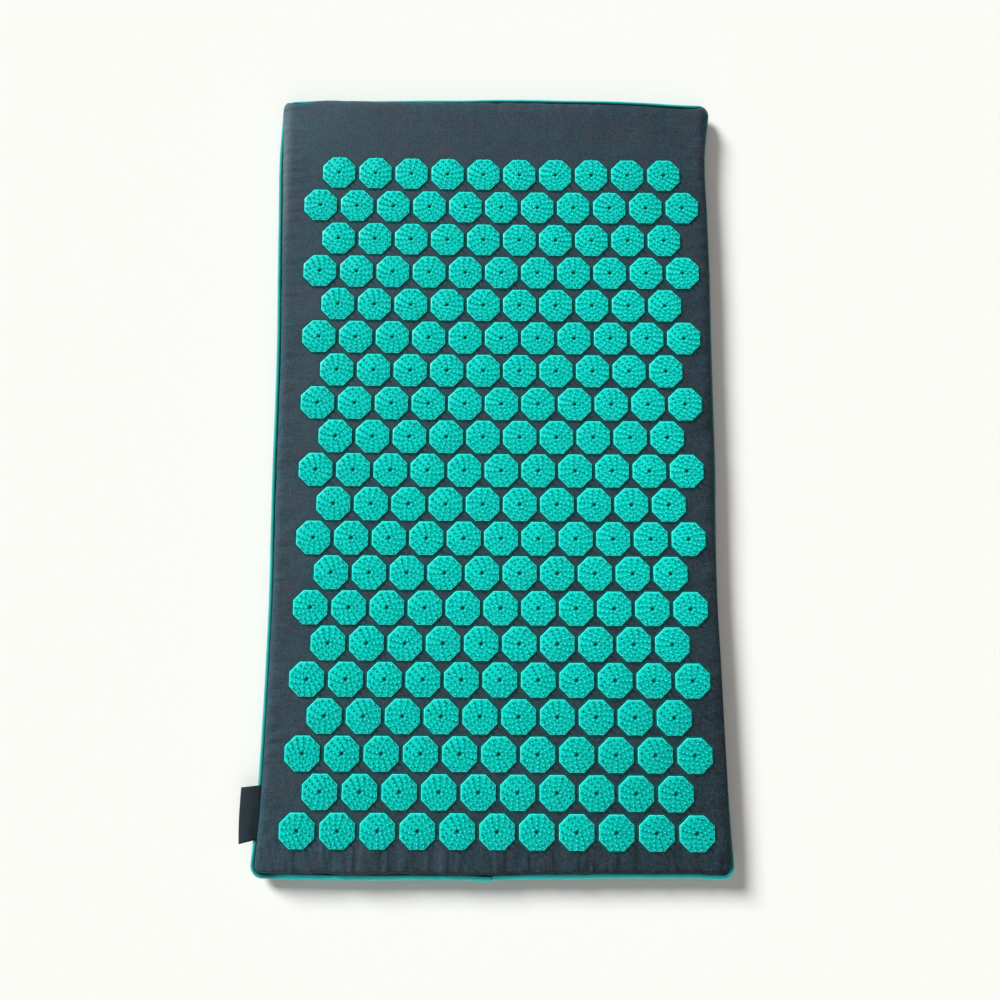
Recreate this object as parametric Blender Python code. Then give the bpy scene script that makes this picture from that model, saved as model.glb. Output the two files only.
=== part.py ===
"""Acupressure mat: a foam slab in a piped cotton cover, with rows of spiked discs on top.

Metres, +Z up. The origin is the centre of the underside, +X runs across the mat and
+Y runs along it, towards the bare end.
"""
import math

import bmesh
import bpy
from mathutils import Matrix, Vector

# Discs, which set the size of the mat
DISC_ROWS = 20
DISCS_IN_LONG_ROW = 11
DISC_WIDTH = 0.032
DISC_SPACE = 0.0028
ROW_SPACE = 0.0004
DISC_PLATE = 0.0015
SPIKE_HEIGHT = 0.0040
SPIKE_EDGE_SPACE = 0.0016

# Margins, from the outer edge of the piping to the nearest disc centres
LEFT_MARGIN = 0.0465
RIGHT_MARGIN = 0.0355
BARE_END_MARGIN = 0.0885
DISC_END_MARGIN = 0.0459

# Bonding beads under the discs
BEAD_WIDTH = 0.002
BEAD_HEIGHT = 0.0006
BEAD_LIFT = 0.0001

# Sides and ends of the mat
SIDE_DRAW = 0.005
END_BOW = 0.003
FLAT_CORNER_RADIUS = 0.005

# Layers
FOAM_THICKNESS = 0.022
FABRIC = 0.0009
GAP = 0.0003
OVERRUN = 0.002

# Seam and piping
PIPING_RADIUS = 0.00225
FLANGE_THICKNESS = 0.0010
BARE_END_DIP = 0.003
DIP_RUN = 0.040

# Edges of the cover
SHOULDER_RUN = 0.0095
FOOT_RADIUS = 0.0026

# Side label
LABEL_LENGTH = 0.047
LABEL_REACH = 0.0110
LABEL_DROP = 0.0040
LABEL_THICKNESS = 0.0004
LABEL_FOLD_GAP = 0.0006
LABEL_FROM_DISC_END = 0.056

# Zip in the wall under the piping, at the end where the discs finish
ZIP_END_SPACE = 0.060
ZIP_HEIGHT = 0.0062
WINDOW_END_SPACE = 0.005
WINDOW_LIP_SPACE = 0.0003
TAPE_THICKNESS = 0.0006
TAPE_WIDTH = 0.0015
TAPE_TUCK = 0.006
COIL_WIDTH = 0.0016
COIL_THICKNESS = 0.0020
COIL_SLIT = 0.0012
STOP_LENGTH = 0.003

# Slider
SLIDER_LENGTH = 0.0105
SLIDER_HEIGHT = 0.0062
SLIDER_PLATE = 0.0010
SLIDER_LIP = 0.0006
SLIDER_LIP_SLOT = 0.0014
SLIDER_POST_LENGTH = 0.0040
SLIDER_POST_WIDTH = 0.0006
BAIL_SPAN = 0.0064
BAIL_WIDTH = 0.0016
BAIL_THICKNESS = 0.0008

# Pull
PULL_LENGTH = 0.022
PULL_WIDTH = 0.0044
PULL_PIN_RADIUS = 0.0005
PULL_ARM_WIDTH = 0.0008
PULL_EYE_SPACE = 0.0012
PULL_CORNER = 0.0012

# Facets
CORNER_STEPS = 5
LONG_SIDE_STEPS = 8
SHORT_SIDE_STEPS = 6
SHOULDER_STEPS = 4
FOOT_STEPS = 3
PIPING_STEPS = 8
DISC_SIDES = 8
FOLD_STEPS = 4
PIN_SIDES = 8

# Places that follow from the sizes above
DISC_PITCH = DISC_WIDTH + DISC_SPACE
ROW_PITCH = DISC_WIDTH + ROW_SPACE
SPIKE_RING_RADIUS = DISC_WIDTH / 2 - SPIKE_EDGE_SPACE
MAT_WIDTH = LEFT_MARGIN + (DISCS_IN_LONG_ROW - 1) * DISC_PITCH + RIGHT_MARGIN
MAT_LENGTH = BARE_END_MARGIN + (DISC_ROWS - 1) * ROW_PITCH + DISC_END_MARGIN
PIPING_INSET = PIPING_RADIUS
COVER_INSET = 2 * PIPING_RADIUS + GAP
CORNER_RADIUS = COVER_INSET + SHOULDER_RUN + FLAT_CORNER_RADIUS
COVER_TOP = FOAM_THICKNESS + 2 * (FABRIC + GAP)
SEAM_HEIGHT = COVER_TOP / 2
RIM_LIFT = FLANGE_THICKNESS / 2 + GAP
FOAM_SKIN = FABRIC + GAP
ZIP_LENGTH = MAT_WIDTH - 2 * ZIP_END_SPACE


def material(name, colour, roughness, metallic=0.0):
    """A plain Principled material."""
    made = bpy.data.materials.new(name)
    made.use_nodes = True
    shader = made.node_tree.nodes["Principled BSDF"]
    shader.inputs["Base Color"].default_value = (*colour, 1.0)
    shader.inputs["Roughness"].default_value = roughness
    shader.inputs["Metallic"].default_value = metallic
    made.diffuse_color = (*colour, 1.0)
    return made


def cover_cotton():
    """Slate blue woven cotton."""
    return material("cover_cotton", (0.045, 0.078, 0.100), 0.92)


def piping_cotton():
    """Teal cotton binding."""
    return material("piping_cotton", (0.045, 0.370, 0.360), 0.85)


def disc_plastic():
    """Turquoise moulded plastic."""
    return material("disc_plastic", (0.010, 0.560, 0.480), 0.30)


def label_ribbon():
    """Near-black woven ribbon."""
    return material("label_ribbon", (0.008, 0.014, 0.020), 0.80)


def foam():
    """Pale open-cell foam."""
    return material("foam", (0.780, 0.760, 0.680), 0.95)


def zip_ribbon():
    """Slate zip tape."""
    return material("zip_ribbon", (0.040, 0.068, 0.088), 0.85)


def zip_coil():
    """Dark nylon coil."""
    return material("zip_coil", (0.030, 0.050, 0.065), 0.45)


def zip_metal():
    """Dark plated zinc."""
    return material("zip_metal", (0.180, 0.190, 0.200), 0.35, 1.0)


def link(name, mesh, finish, parent=None, location=(0, 0, 0)):
    """One named object with its material."""
    mesh.materials.append(finish)
    piece = bpy.data.objects.new(name, mesh)
    piece.location = location
    piece.parent = parent
    bpy.context.collection.objects.link(piece)
    return piece


def close_mesh(bm, name):
    """A bmesh as a mesh with its faces pointing out."""
    bmesh.ops.recalc_face_normals(bm, faces=bm.faces)
    mesh = bpy.data.meshes.new(name)
    bm.to_mesh(mesh)
    bm.free()
    return mesh


def add_box(bm, low, high):
    """A closed box between two corners."""
    low = Vector(low)
    high = Vector(high)
    place = Matrix.LocRotScale((low + high) / 2, None, high - low)
    bmesh.ops.create_cube(bm, size=1, matrix=place)


def boxes(name, corners):
    """A mesh of separate boxes."""
    bm = bmesh.new()
    for low, high in corners:
        add_box(bm, low, high)
    return close_mesh(bm, name)


def combine(piece, mesh, operation):
    """Adds a mesh to a piece, or cuts it out of the piece, with a hidden helper object."""
    helper = bpy.data.objects.new(mesh.name, mesh)
    helper.location = piece.location
    helper.parent = piece.parent
    helper.hide_render = True
    helper.display_type = "WIRE"
    bpy.context.collection.objects.link(helper)
    step = piece.modifiers.new(mesh.name, "BOOLEAN")
    step.operation = operation
    step.solver = "EXACT"
    step.object = helper


def side_points(start, end, inward, steps):
    """Points between two corners, moved inwards by a curve that is flat near the corners."""
    points = []
    for step in range(1, steps):
        share = step / steps
        bulge = 1 - (2 * share - 1) ** 4
        points.append(start.lerp(end, share) + inward * bulge)
    return points


def outline(inset):
    """The mat's outline, counter-clockwise, inset from the outer edge of the piping."""
    half_x = MAT_WIDTH / 2 - inset
    half_y = MAT_LENGTH / 2 - END_BOW - inset
    radius = CORNER_RADIUS - inset
    sides = (
        (Vector((-SIDE_DRAW, 0)), LONG_SIDE_STEPS),
        (Vector((0, END_BOW)), SHORT_SIDE_STEPS),
        (Vector((SIDE_DRAW, 0)), LONG_SIDE_STEPS),
        (Vector((0, -END_BOW)), SHORT_SIDE_STEPS),
    )
    arcs = []
    for corner, (way_x, way_y) in enumerate(((1, -1), (1, 1), (-1, 1), (-1, -1))):
        centre = Vector((way_x * (half_x - radius), way_y * (half_y - radius)))
        arc = []
        for step in range(CORNER_STEPS + 1):
            turn = math.pi / 2 * (corner - 1 + step / CORNER_STEPS)
            arc.append(centre + radius * Vector((math.cos(turn), math.sin(turn))))
        arcs.append(arc)
    points = []
    for corner, (inward, steps) in enumerate(sides):
        following = arcs[(corner + 1) % len(arcs)]
        points += arcs[corner] + side_points(arcs[corner][-1], following[0], inward, steps)
    return points


def seam_height(point):
    """Height of the seam, which dips along the middle of the bare end."""
    past = (point.y - (MAT_LENGTH / 2 - DIP_RUN)) / DIP_RUN
    end_share = min(max(past, 0.0), 1.0)
    middle_share = 1 - (2 * point.x / MAT_WIDTH) ** 4
    return SEAM_HEIGHT - BARE_END_DIP * end_share * middle_share


def add_ring(bm, inset, lift, share=0.0, level=0.0):
    """A ring of vertices: at its rim, or a share of the way from the rim to a level."""
    ring = []
    for point, edge in zip(outline(inset), outline(0)):
        rim = seam_height(edge) + lift
        ring.append(bm.verts.new((point.x, point.y, rim + share * (level - rim))))
    return ring


def join_rings(bm, rings):
    """Quads between each ring and the next."""
    for lower, upper in zip(rings, rings[1:]):
        for side in range(len(lower)):
            after = (side + 1) % len(lower)
            bm.faces.new((lower[side], lower[after], upper[after], upper[side]))


def shoulder_rings(bm, skin, lift):
    """Rings up the rounded shoulder, a skin's depth inside the cover's outer face."""
    rings = []
    for step in range(SHOULDER_STEPS + 1):
        turn = math.pi / 2 * step / SHOULDER_STEPS
        inset = COVER_INSET + skin + (SHOULDER_RUN - skin) * (1 - math.cos(turn))
        rings.append(add_ring(bm, inset, lift, math.sin(turn), COVER_TOP - skin))
    return rings


def foot_rings(bm, skin, lift):
    """Rings down the upright wall and round the foot, a skin's depth inside the outer face."""
    rings = [add_ring(bm, COVER_INSET + skin, -lift)]
    radius = FOOT_RADIUS - skin
    for step in range(FOOT_STEPS + 1):
        turn = math.pi / 2 * step / FOOT_STEPS
        inset = COVER_INSET + skin + radius * (1 - math.cos(turn))
        rings.append(add_ring(bm, inset, 0, 1.0, FOOT_RADIUS - radius * math.sin(turn)))
    return rings


def cover_half(name, rings_of):
    """Half of the cover: an outer and an inner skin that meet at the rim."""
    bm = bmesh.new()
    outer = rings_of(bm, 0, RIM_LIFT)
    inner = rings_of(bm, FABRIC, RIM_LIFT)
    join_rings(bm, outer[::-1] + inner)
    bm.faces.new(outer[-1])
    bm.faces.new(inner[-1][::-1])
    return close_mesh(bm, name)


def cover_top():
    """Top of the cover, with its rounded shoulders and flat disc field."""
    return link("cover_top", cover_half("cover_top", shoulder_rings), cover_cotton())


def cover_base():
    """Base of the cover, open at the zip."""
    piece = link("cover_base", cover_half("cover_base", foot_rings), cover_cotton())
    half = ZIP_LENGTH / 2 + WINDOW_END_SPACE
    low = (-half, -MAT_LENGTH / 2 - OVERRUN, zip_centre().z - window_half())
    high = (half, wall_at_tape_end() + FABRIC + OVERRUN, zip_centre().z + window_half())
    combine(piece, boxes("zip_window", [(low, high)]), "DIFFERENCE")
    return piece


def foam_core():
    """The foam slab, drawn in to the seam, with a recess behind the zip."""
    bm = bmesh.new()
    upper = shoulder_rings(bm, FOAM_SKIN, 0)
    lower = foot_rings(bm, FOAM_SKIN, 0)
    for vert in lower[0]:
        bm.verts.remove(vert)
    rings = lower[1:][::-1] + upper
    join_rings(bm, rings)
    bm.faces.new(rings[0][::-1])
    bm.faces.new(rings[-1])
    piece = link("foam_core", close_mesh(bm, "foam_core"), foam())
    half = tape_length() / 2 + GAP
    reach = ZIP_HEIGHT / 2 - SLIDER_LIP + GAP + TAPE_WIDTH + GAP
    depth = zip_centre().y + slider_half_depth() + GAP
    low = (-half, -MAT_LENGTH / 2 - OVERRUN, zip_centre().z - reach)
    high = (half, depth, zip_centre().z + reach)
    combine(piece, boxes("zip_recess", [(low, high)]), "DIFFERENCE")
    return piece


def piping_section():
    """The piping's section as (outward, up) steps: a round cord with a sewing flange."""
    half = FLANGE_THICKNESS / 2
    meet = math.pi - math.asin(half / PIPING_RADIUS)
    section = []
    for step in range(PIPING_STEPS + 1):
        turn = meet - 2 * meet * step / PIPING_STEPS
        section.append((PIPING_RADIUS * math.cos(turn), PIPING_RADIUS * math.sin(turn)))
    tip = -(COVER_INSET + FABRIC - PIPING_INSET)
    section += [(tip, -half), (tip, half)]
    return section


def piping():
    """The corded binding round the seam, in one closed ring."""
    bm = bmesh.new()
    rings = []
    for outward, up in piping_section():
        rings.append(add_ring(bm, PIPING_INSET - outward, up))
    join_rings(bm, rings + rings[:1])
    return link("piping", close_mesh(bm, "piping"), piping_cotton())


def disc_faces(bm, centre):
    """One disc: an octagonal plate whose top rises into a ring of spikes."""
    corner_radius = DISC_WIDTH / 2 / math.cos(math.pi / DISC_SIDES)
    lower = []
    upper = []
    peaks = []
    for side in range(DISC_SIDES):
        corner_turn = 2 * math.pi * (side - 0.5) / DISC_SIDES
        corner = centre + corner_radius * Vector((math.cos(corner_turn), math.sin(corner_turn), 0))
        lower.append(bm.verts.new(corner))
        upper.append(bm.verts.new(corner + Vector((0, 0, DISC_PLATE))))
        peak_turn = 2 * math.pi * side / DISC_SIDES
        peak = SPIKE_RING_RADIUS * Vector((math.cos(peak_turn), math.sin(peak_turn), 0))
        peaks.append(bm.verts.new(centre + peak + Vector((0, 0, DISC_PLATE + SPIKE_HEIGHT))))
    middle = bm.verts.new(centre + Vector((0, 0, DISC_PLATE)))
    bm.faces.new(lower[::-1])
    for side in range(DISC_SIDES):
        after = (side + 1) % DISC_SIDES
        bm.faces.new((lower[side], lower[after], upper[after], upper[side]))
        bm.faces.new((upper[side], upper[after], peaks[side]))
        bm.faces.new((middle, upper[side], peaks[side]))
        bm.faces.new((middle, peaks[side], upper[after]))


def bead(name, half):
    """The bonding bead that ties a row of discs together, under their plates."""
    bm = bmesh.new()
    ends = []
    for x in (-half, half):
        corners = (
            (x, -BEAD_WIDTH / 2, BEAD_LIFT),
            (x, BEAD_WIDTH / 2, BEAD_LIFT),
            (x, 0, BEAD_LIFT + BEAD_HEIGHT),
        )
        ends.append([bm.verts.new(corner) for corner in corners])
    join_rings(bm, [ends[0], ends[1]])
    bm.faces.new(ends[0])
    bm.faces.new(ends[1][::-1])
    return close_mesh(bm, name)


def disc_row(row, finish):
    """One row of discs, standing on the cover: short and long rows take turns."""
    count = DISCS_IN_LONG_ROW if row % 2 else DISCS_IN_LONG_ROW - 1
    half = (count - 1) / 2 * DISC_PITCH
    bm = bmesh.new()
    for place in range(count):
        disc_faces(bm, Vector((place * DISC_PITCH - half, 0, 0)))
    name = f"disc_row_{row + 1:02d}"
    x = (LEFT_MARGIN - RIGHT_MARGIN) / 2
    y = MAT_LENGTH / 2 - BARE_END_MARGIN - row * ROW_PITCH
    piece = link(name, close_mesh(bm, name), finish, location=(x, y, COVER_TOP + GAP))
    combine(piece, bead(f"bead_{row + 1:02d}", half), "UNION")
    return piece


def disc_rows():
    """All the rows of discs, from the bare end down."""
    finish = disc_plastic()
    return [disc_row(row, finish) for row in range(DISC_ROWS)]


def label_inner_edge():
    """X of the label's sewn edge, beside the cover's left wall."""
    return -MAT_WIDTH / 2 + COVER_INSET - GAP


def label_path():
    """Middle line of the label's lower layer, from the seam outwards, as (x, z) points."""
    z = SEAM_HEIGHT + PIPING_RADIUS + GAP + LABEL_THICKNESS / 2
    crest = -MAT_WIDTH / 2 + PIPING_INSET
    return [
        Vector((label_inner_edge(), z)),
        Vector((crest, z)),
        Vector((crest - LABEL_REACH, z - LABEL_DROP)),
    ]


def label_section():
    """The label's folded section in the XZ plane, as one closed line."""
    inner, crest, tip = label_path()
    slope = (tip - crest).normalized()
    up = Vector((slope.y, -slope.x))
    if up.y < 0:
        up = -up
    lift = LABEL_THICKNESS + LABEL_FOLD_GAP
    half = LABEL_THICKNESS / 2
    fold_centre = tip + up * lift / 2
    level_up = Vector((0, 1))

    def side(offset):
        """Points from the sewn edge to the fold, above the lower layer's middle line."""
        return [inner + level_up * offset, crest + level_up * offset]

    def fold(radius, order):
        """Half a turn round the fold, from the lower layer to the upper."""
        points = []
        for step in range(FOLD_STEPS + 1):
            turn = math.pi * step / FOLD_STEPS
            points.append(fold_centre - up * radius * math.cos(turn) + slope * radius * math.sin(turn))
        return points[::order]

    outer = side(-half) + fold(lift / 2 + half, 1) + side(lift + half)[::-1]
    inner_line = side(lift - half) + fold(lift / 2 - half, -1) + side(half)[::-1]
    return outer + inner_line


def side_label():
    """The folded ribbon label that comes out over the piping on the left side."""
    bm = bmesh.new()
    centre_y = -MAT_LENGTH / 2 + LABEL_FROM_DISC_END
    ends = []
    for way in (-1, 1):
        y = centre_y + way * LABEL_LENGTH / 2
        ends.append([bm.verts.new((point.x, y, point.y)) for point in label_section()])
    join_rings(bm, ends)
    bm.faces.new(ends[0][::-1])
    bm.faces.new(ends[1])
    return link("side_label", close_mesh(bm, "side_label"), label_ribbon())


def tape_length():
    """Length of the zip tape, tucked past both ends of its window."""
    return ZIP_LENGTH + 2 * (WINDOW_END_SPACE + TAPE_TUCK)


def wall_at_tape_end():
    """Y of the end wall's inner face beside the tape's ends, where the wall bows out the least."""
    x = tape_length() / 2
    points = outline(COVER_INSET + FABRIC)
    for before, after in zip(points, points[1:] + points[:1]):
        if before.y < 0 and before.x <= x <= after.x:
            share = (x - before.x) / (after.x - before.x)
            return before.lerp(after, share).y
    return points[0].y


def zip_centre():
    """Middle of the zip: behind the wall, below the piping."""
    y = wall_at_tape_end() + GAP + TAPE_THICKNESS / 2
    z = SEAM_HEIGHT - PIPING_RADIUS - GAP - WINDOW_LIP_SPACE - ZIP_HEIGHT / 2
    return Vector((0, y, z))


def window_half():
    """Half the height of the zip's window."""
    return ZIP_HEIGHT / 2 + WINDOW_LIP_SPACE


def slider_half_depth():
    """From the zip's plane to either outer face of the slider."""
    return COIL_THICKNESS / 2 + GAP + SLIDER_PLATE


def zip_bar(name, low, high, finish):
    """A straight bar along the zip, between two corners about the zip's middle."""
    centre = zip_centre()
    corners = [(centre + Vector(low), centre + Vector(high))]
    return link(name, boxes(name, corners), finish)


def zip_tapes():
    """The woven tape above and below the coils."""
    half = tape_length() / 2
    inner = COIL_SLIT / 2 + COIL_WIDTH + GAP
    outer = inner + TAPE_WIDTH
    depth = TAPE_THICKNESS / 2
    finish = zip_ribbon()
    return [
        zip_bar("zip_tape_upper", (-half, -depth, inner), (half, depth, outer), finish),
        zip_bar("zip_tape_lower", (-half, -depth, -outer), (half, depth, -inner), finish),
    ]


def zip_coils():
    """The two rows of coil, side by side."""
    half = ZIP_LENGTH / 2
    inner = COIL_SLIT / 2
    outer = inner + COIL_WIDTH
    depth = COIL_THICKNESS / 2
    finish = zip_coil()
    return [
        zip_bar("zip_coil_upper", (-half, -depth, inner), (half, depth, outer), finish),
        zip_bar("zip_coil_lower", (-half, -depth, -outer), (half, depth, -inner), finish),
    ]


def zip_stops():
    """The end stops, between the tapes at both ends of the coils."""
    near = ZIP_LENGTH / 2 + GAP
    far = near + STOP_LENGTH
    reach = COIL_SLIT / 2 + COIL_WIDTH
    depth = COIL_THICKNESS / 2
    finish = zip_metal()
    return [
        zip_bar("zip_stop_left", (-far, -depth, -reach), (-near, depth, reach), finish),
        zip_bar("zip_stop_right", (near, -depth, -reach), (far, depth, reach), finish),
    ]


def slider_home():
    """The slider's middle with the zip closed, against the left stop."""
    return zip_centre() - Vector(((ZIP_LENGTH - SLIDER_LENGTH) / 2, 0, 0))


def pull_hinge_depth():
    """From the zip's plane out to the pull's pin."""
    return slider_half_depth() + GAP + PULL_PIN_RADIUS


def bail_height():
    """From the zip's plane out to the bail's outer face."""
    return pull_hinge_depth() + PULL_PIN_RADIUS + GAP + BAIL_THICKNESS


def zip_slider(joint):
    """The slider: two plates, a post between the coils, lips round them and a bail."""
    half = SLIDER_LENGTH / 2
    high = SLIDER_HEIGHT / 2
    outer = slider_half_depth()
    inner = outer - SLIDER_PLATE
    middle = outer - SLIDER_PLATE / 2
    slot = SLIDER_LIP_SLOT / 2
    plate = boxes("zip_slider", [((-half, -outer, -high), (half, -inner, high))])
    piece = link("zip_slider", plate, zip_metal(), parent=joint)

    post = SLIDER_POST_LENGTH / 2
    post_half = SLIDER_POST_WIDTH / 2
    bail_half = BAIL_WIDTH / 2
    foot = BAIL_SPAN / 2 - BAIL_THICKNESS
    top = bail_height()
    legs = [((-post, -middle, -post_half), (post, middle, post_half))]
    for way in (-1, 1):
        ends = sorted((way * foot, way * BAIL_SPAN / 2))
        legs.append(((ends[0], -top, -bail_half), (ends[1], -middle, bail_half)))
    combine(piece, boxes("slider_post", legs), "UNION")

    back = ((-half, inner, -high), (half, outer, high))
    bridge = ((-BAIL_SPAN / 2, -top, -bail_half), (BAIL_SPAN / 2, BAIL_THICKNESS - top, bail_half))
    combine(piece, boxes("slider_back", [back, bridge]), "UNION")

    lips = []
    for way_y in (-1, 1):
        for way_z in (-1, 1):
            ys = sorted((way_y * slot, way_y * middle))
            zs = sorted((way_z * (high - SLIDER_LIP), way_z * high))
            lips.append(((-half, ys[0], zs[0]), (half, ys[1], zs[1])))
    combine(piece, boxes("slider_lips", lips), "UNION")
    return piece


def add_rounded_tab(bm, start, end, half_width, half_depth, corner):
    """A flat tab along X with its outer corners rounded."""
    flat = [(start, -half_width)]
    for way in (-1, 1):
        for step in range(FOLD_STEPS + 1):
            turn = math.pi / 2 * step / FOLD_STEPS
            across = half_width - corner + corner * math.sin(turn if way > 0 else math.pi / 2 - turn)
            along = end - corner + corner * math.cos(turn if way > 0 else math.pi / 2 - turn)
            flat.append((along, way * across))
    flat.append((start, half_width))
    sides = []
    for y in (-half_depth, half_depth):
        sides.append([bm.verts.new((x, y, z)) for x, z in flat])
    join_rings(bm, sides)
    bm.faces.new(sides[0])
    bm.faces.new(sides[1][::-1])


def zip_pull(joint):
    """The pull: a tab with two arms and a pin, which turns under the slider's bail."""
    depth = PULL_PIN_RADIUS
    tab_start = BAIL_SPAN / 2 + PULL_EYE_SPACE
    bm = bmesh.new()
    add_rounded_tab(bm, tab_start, PULL_LENGTH, PULL_WIDTH / 2, depth, PULL_CORNER)
    piece = link("zip_pull", close_mesh(bm, "zip_pull"), zip_metal(), parent=joint)

    outer = PULL_WIDTH / 2
    inner = outer - PULL_ARM_WIDTH
    arms = []
    for way in (-1, 1):
        zs = sorted((way * inner, way * outer))
        arms.append(((0, -depth, zs[0]), (tab_start + PULL_CORNER, depth, zs[1])))
    combine(piece, boxes("pull_arms", arms), "UNION")

    bm = bmesh.new()
    bmesh.ops.create_cone(
        bm,
        cap_ends=True,
        segments=PIN_SIDES,
        radius1=PULL_PIN_RADIUS,
        radius2=PULL_PIN_RADIUS,
        depth=2 * inner + PULL_ARM_WIDTH,
    )
    combine(piece, close_mesh(bm, "pull_pin"), "UNION")
    return piece


def joint_empty(name, location, parent=None):
    """An empty on a joint's axis."""
    empty = bpy.data.objects.new(name, None)
    empty.location = location
    empty.parent = parent
    bpy.context.collection.objects.link(empty)
    return empty


def zip_parts():
    """The whole zip, with the slider and the pull on their joints."""
    zip_tapes()
    zip_coils()
    zip_stops()
    slide = joint_empty("slide_axis", slider_home())
    zip_slider(slide)
    hinge = joint_empty("pull_axis", Vector((0, -pull_hinge_depth(), 0)), slide)
    zip_pull(hinge)


def build():
    """Builds the mat in an emptied scene."""
    for piece in list(bpy.data.objects):
        bpy.data.objects.remove(piece)
    foam_core()
    cover_base()
    cover_top()
    piping()
    side_label()
    zip_parts()
    disc_rows()


build()
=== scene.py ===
"""Acupressure mat: a foam slab in a piped cotton cover, under rows of spiked plastic discs."""
import math
import random

import bmesh
import bpy
from mathutils import Matrix, Vector, noise


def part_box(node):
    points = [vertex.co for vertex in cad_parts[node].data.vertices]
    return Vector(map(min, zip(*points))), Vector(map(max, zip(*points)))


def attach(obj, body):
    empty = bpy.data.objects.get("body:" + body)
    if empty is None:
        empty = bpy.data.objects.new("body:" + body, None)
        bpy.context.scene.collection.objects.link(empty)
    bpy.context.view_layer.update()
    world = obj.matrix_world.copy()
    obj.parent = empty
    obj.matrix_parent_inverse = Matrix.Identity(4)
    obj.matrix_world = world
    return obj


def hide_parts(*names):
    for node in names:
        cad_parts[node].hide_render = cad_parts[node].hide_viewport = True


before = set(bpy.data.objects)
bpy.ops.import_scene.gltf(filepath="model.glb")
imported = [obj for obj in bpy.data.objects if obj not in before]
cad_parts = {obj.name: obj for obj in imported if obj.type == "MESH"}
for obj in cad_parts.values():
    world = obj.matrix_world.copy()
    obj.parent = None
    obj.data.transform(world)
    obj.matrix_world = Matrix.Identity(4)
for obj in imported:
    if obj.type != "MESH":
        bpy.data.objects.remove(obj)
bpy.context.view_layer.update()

MM = 0.001

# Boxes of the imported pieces, which the finished pieces follow
PIPING_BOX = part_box("piping")
BASE_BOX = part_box("cover_base")
ROW_NAMES = sorted(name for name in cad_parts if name.startswith("disc_row_"))

# Whole mat
HALF_WIDTH = (PIPING_BOX[1][0] - PIPING_BOX[0][0]) / 2
HALF_LENGTH = (PIPING_BOX[1][1] - PIPING_BOX[0][1]) / 2
COVER_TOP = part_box("cover_top")[1][2]
SEAM_HEIGHT = COVER_TOP / 2
SIDE_DRAW = 5 * MM
END_BOW = 3 * MM
BARE_END_DIP = 3 * MM
DIP_RUN = 40 * MM

# How far the soft sides lie off the straight, in millimetres outwards, at even steps along X or Y
RIGHT_WANDER = (1.4, 0.6, 0.2, -0.7, -2.2, -2.0, -0.8, -1.1, -1.3, -1.3, -2.9, -5.5, -2.0)
FAR_WANDER = (0.5, 1.5, 1.1, 1.3, 2.0, 2.3, 3.4, 3.5, 3.1, 3.0, 2.1, 0.7, 0.2)
LEFT_WANDER = (0.7, -0.6, -0.9, -1.3, -1.5, -0.5, 0.3, 0.3, 0.9, 2.4, 3.2, 2.9, -1.9)
NEAR_WANDER = (2.6, 1.7, 1.3, 0.8, 0.3, 0.1, 0.1, -1.2, -1.4, -1.9, -1.4, -0.6, 2.4)
WANDER_FADE = 90 * MM
JOIN_STEP = 1.0 * MM
JOIN_RUN = 14
WANDER_FOOT = 9.8 * MM

# Shapes along each side, in millimetres, from one corner to the next, with most steps near the corners:
# how far the cover swells out over the piping
BULGES = (
    (0.2, 4.0, 4.8, 3.5, 3.8, 4.2, 1.0),
    (1.0, -1.6, -3.0, -2.9, -2.6, -2.2, -1.6, -0.7, 0.2, 1.4, 1.4, -0.9, 3.4),
    (3.4, 4.6, 1.6, 0.9, 0.8, 0.7, 0.7, 1.1, 1.5, 1.4, 1.2, 0.9, 0.5),
    (0.5, 0.4, 0.5, 0.7, 0.8, 0.8, 0.2),
)

# How far in the cover's shoulder reaches from its rim
SHOULDERS = (
    (5.0, 6.5, 7.0, 7.0, 7.0, 7.0, 6.5),
    (6.5, 6.5, 6.5, 6.5, 6.5, 6.5, 7.0),
    (7.0, 7.5, 7.5, 7.5, 7.5, 7.0, 5.0),
    (5.0, 4.5, 4.5, 4.5, 4.5, 4.5, 5.0),
)

# How far in the cover's rim lies
RIMS = (
    (5.3, 4.7, 4.7, 4.7, 4.7, 4.7, 4.7),
    (4.7, 5.3, 5.6, 5.6, 5.3, 4.7, 4.7),
    (4.7, 4.7, 4.7, 4.7, 4.7, 4.6, 4.6),
    (4.6, 5.4, 5.4, 5.2, 4.9, 4.9, 5.3),
)

# How much thicker the cord is, as a share
CORD_GROWTH = (
    (0.08, 0.0, 0.0, 0.0, 0.0, 0.0, 0.0),
    (0.0, 0.0),
    (0.0, 0.0),
    (0.0, 0.22, 0.2, 0.14, 0.08, 0.08, 0.08),
)

# Cover
PIPING_RADIUS = 2.5 * MM
COVER_INSET = 4.7 * MM
BASE_INSET = 4.9 * MM
SHOULDER_RUN = 6.5 * MM
CORNER_RADIUS = 11.5 * MM
FOOT_RADIUS = 2.6 * MM
FABRIC = 0.9 * MM
RIM_LIFT = 0.8 * MM
DRAW_FADE = 80 * MM
COVER_CELL = 2.9 * MM
SHOULDER_CELLS = 8
SHOULDER_SHARE = 0.6
FLAT_FROM = 5
BASE_CELL = 6 * MM
WALL_CELLS = 3
FOOT_CELLS = 4
CORD_SIDES = 14
CORD_STEPS = 220
CORD_UNEVEN = 0.05
CORD_END_SHARE = 0.94
PLUG_SHARE = 0.8
TONGUE = ((-0.6, -0.2), (-0.6, 0.2), (-2.2, 0.2), (-2.2, -0.2))
JOIN_GAP = 0.22 * MM

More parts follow.
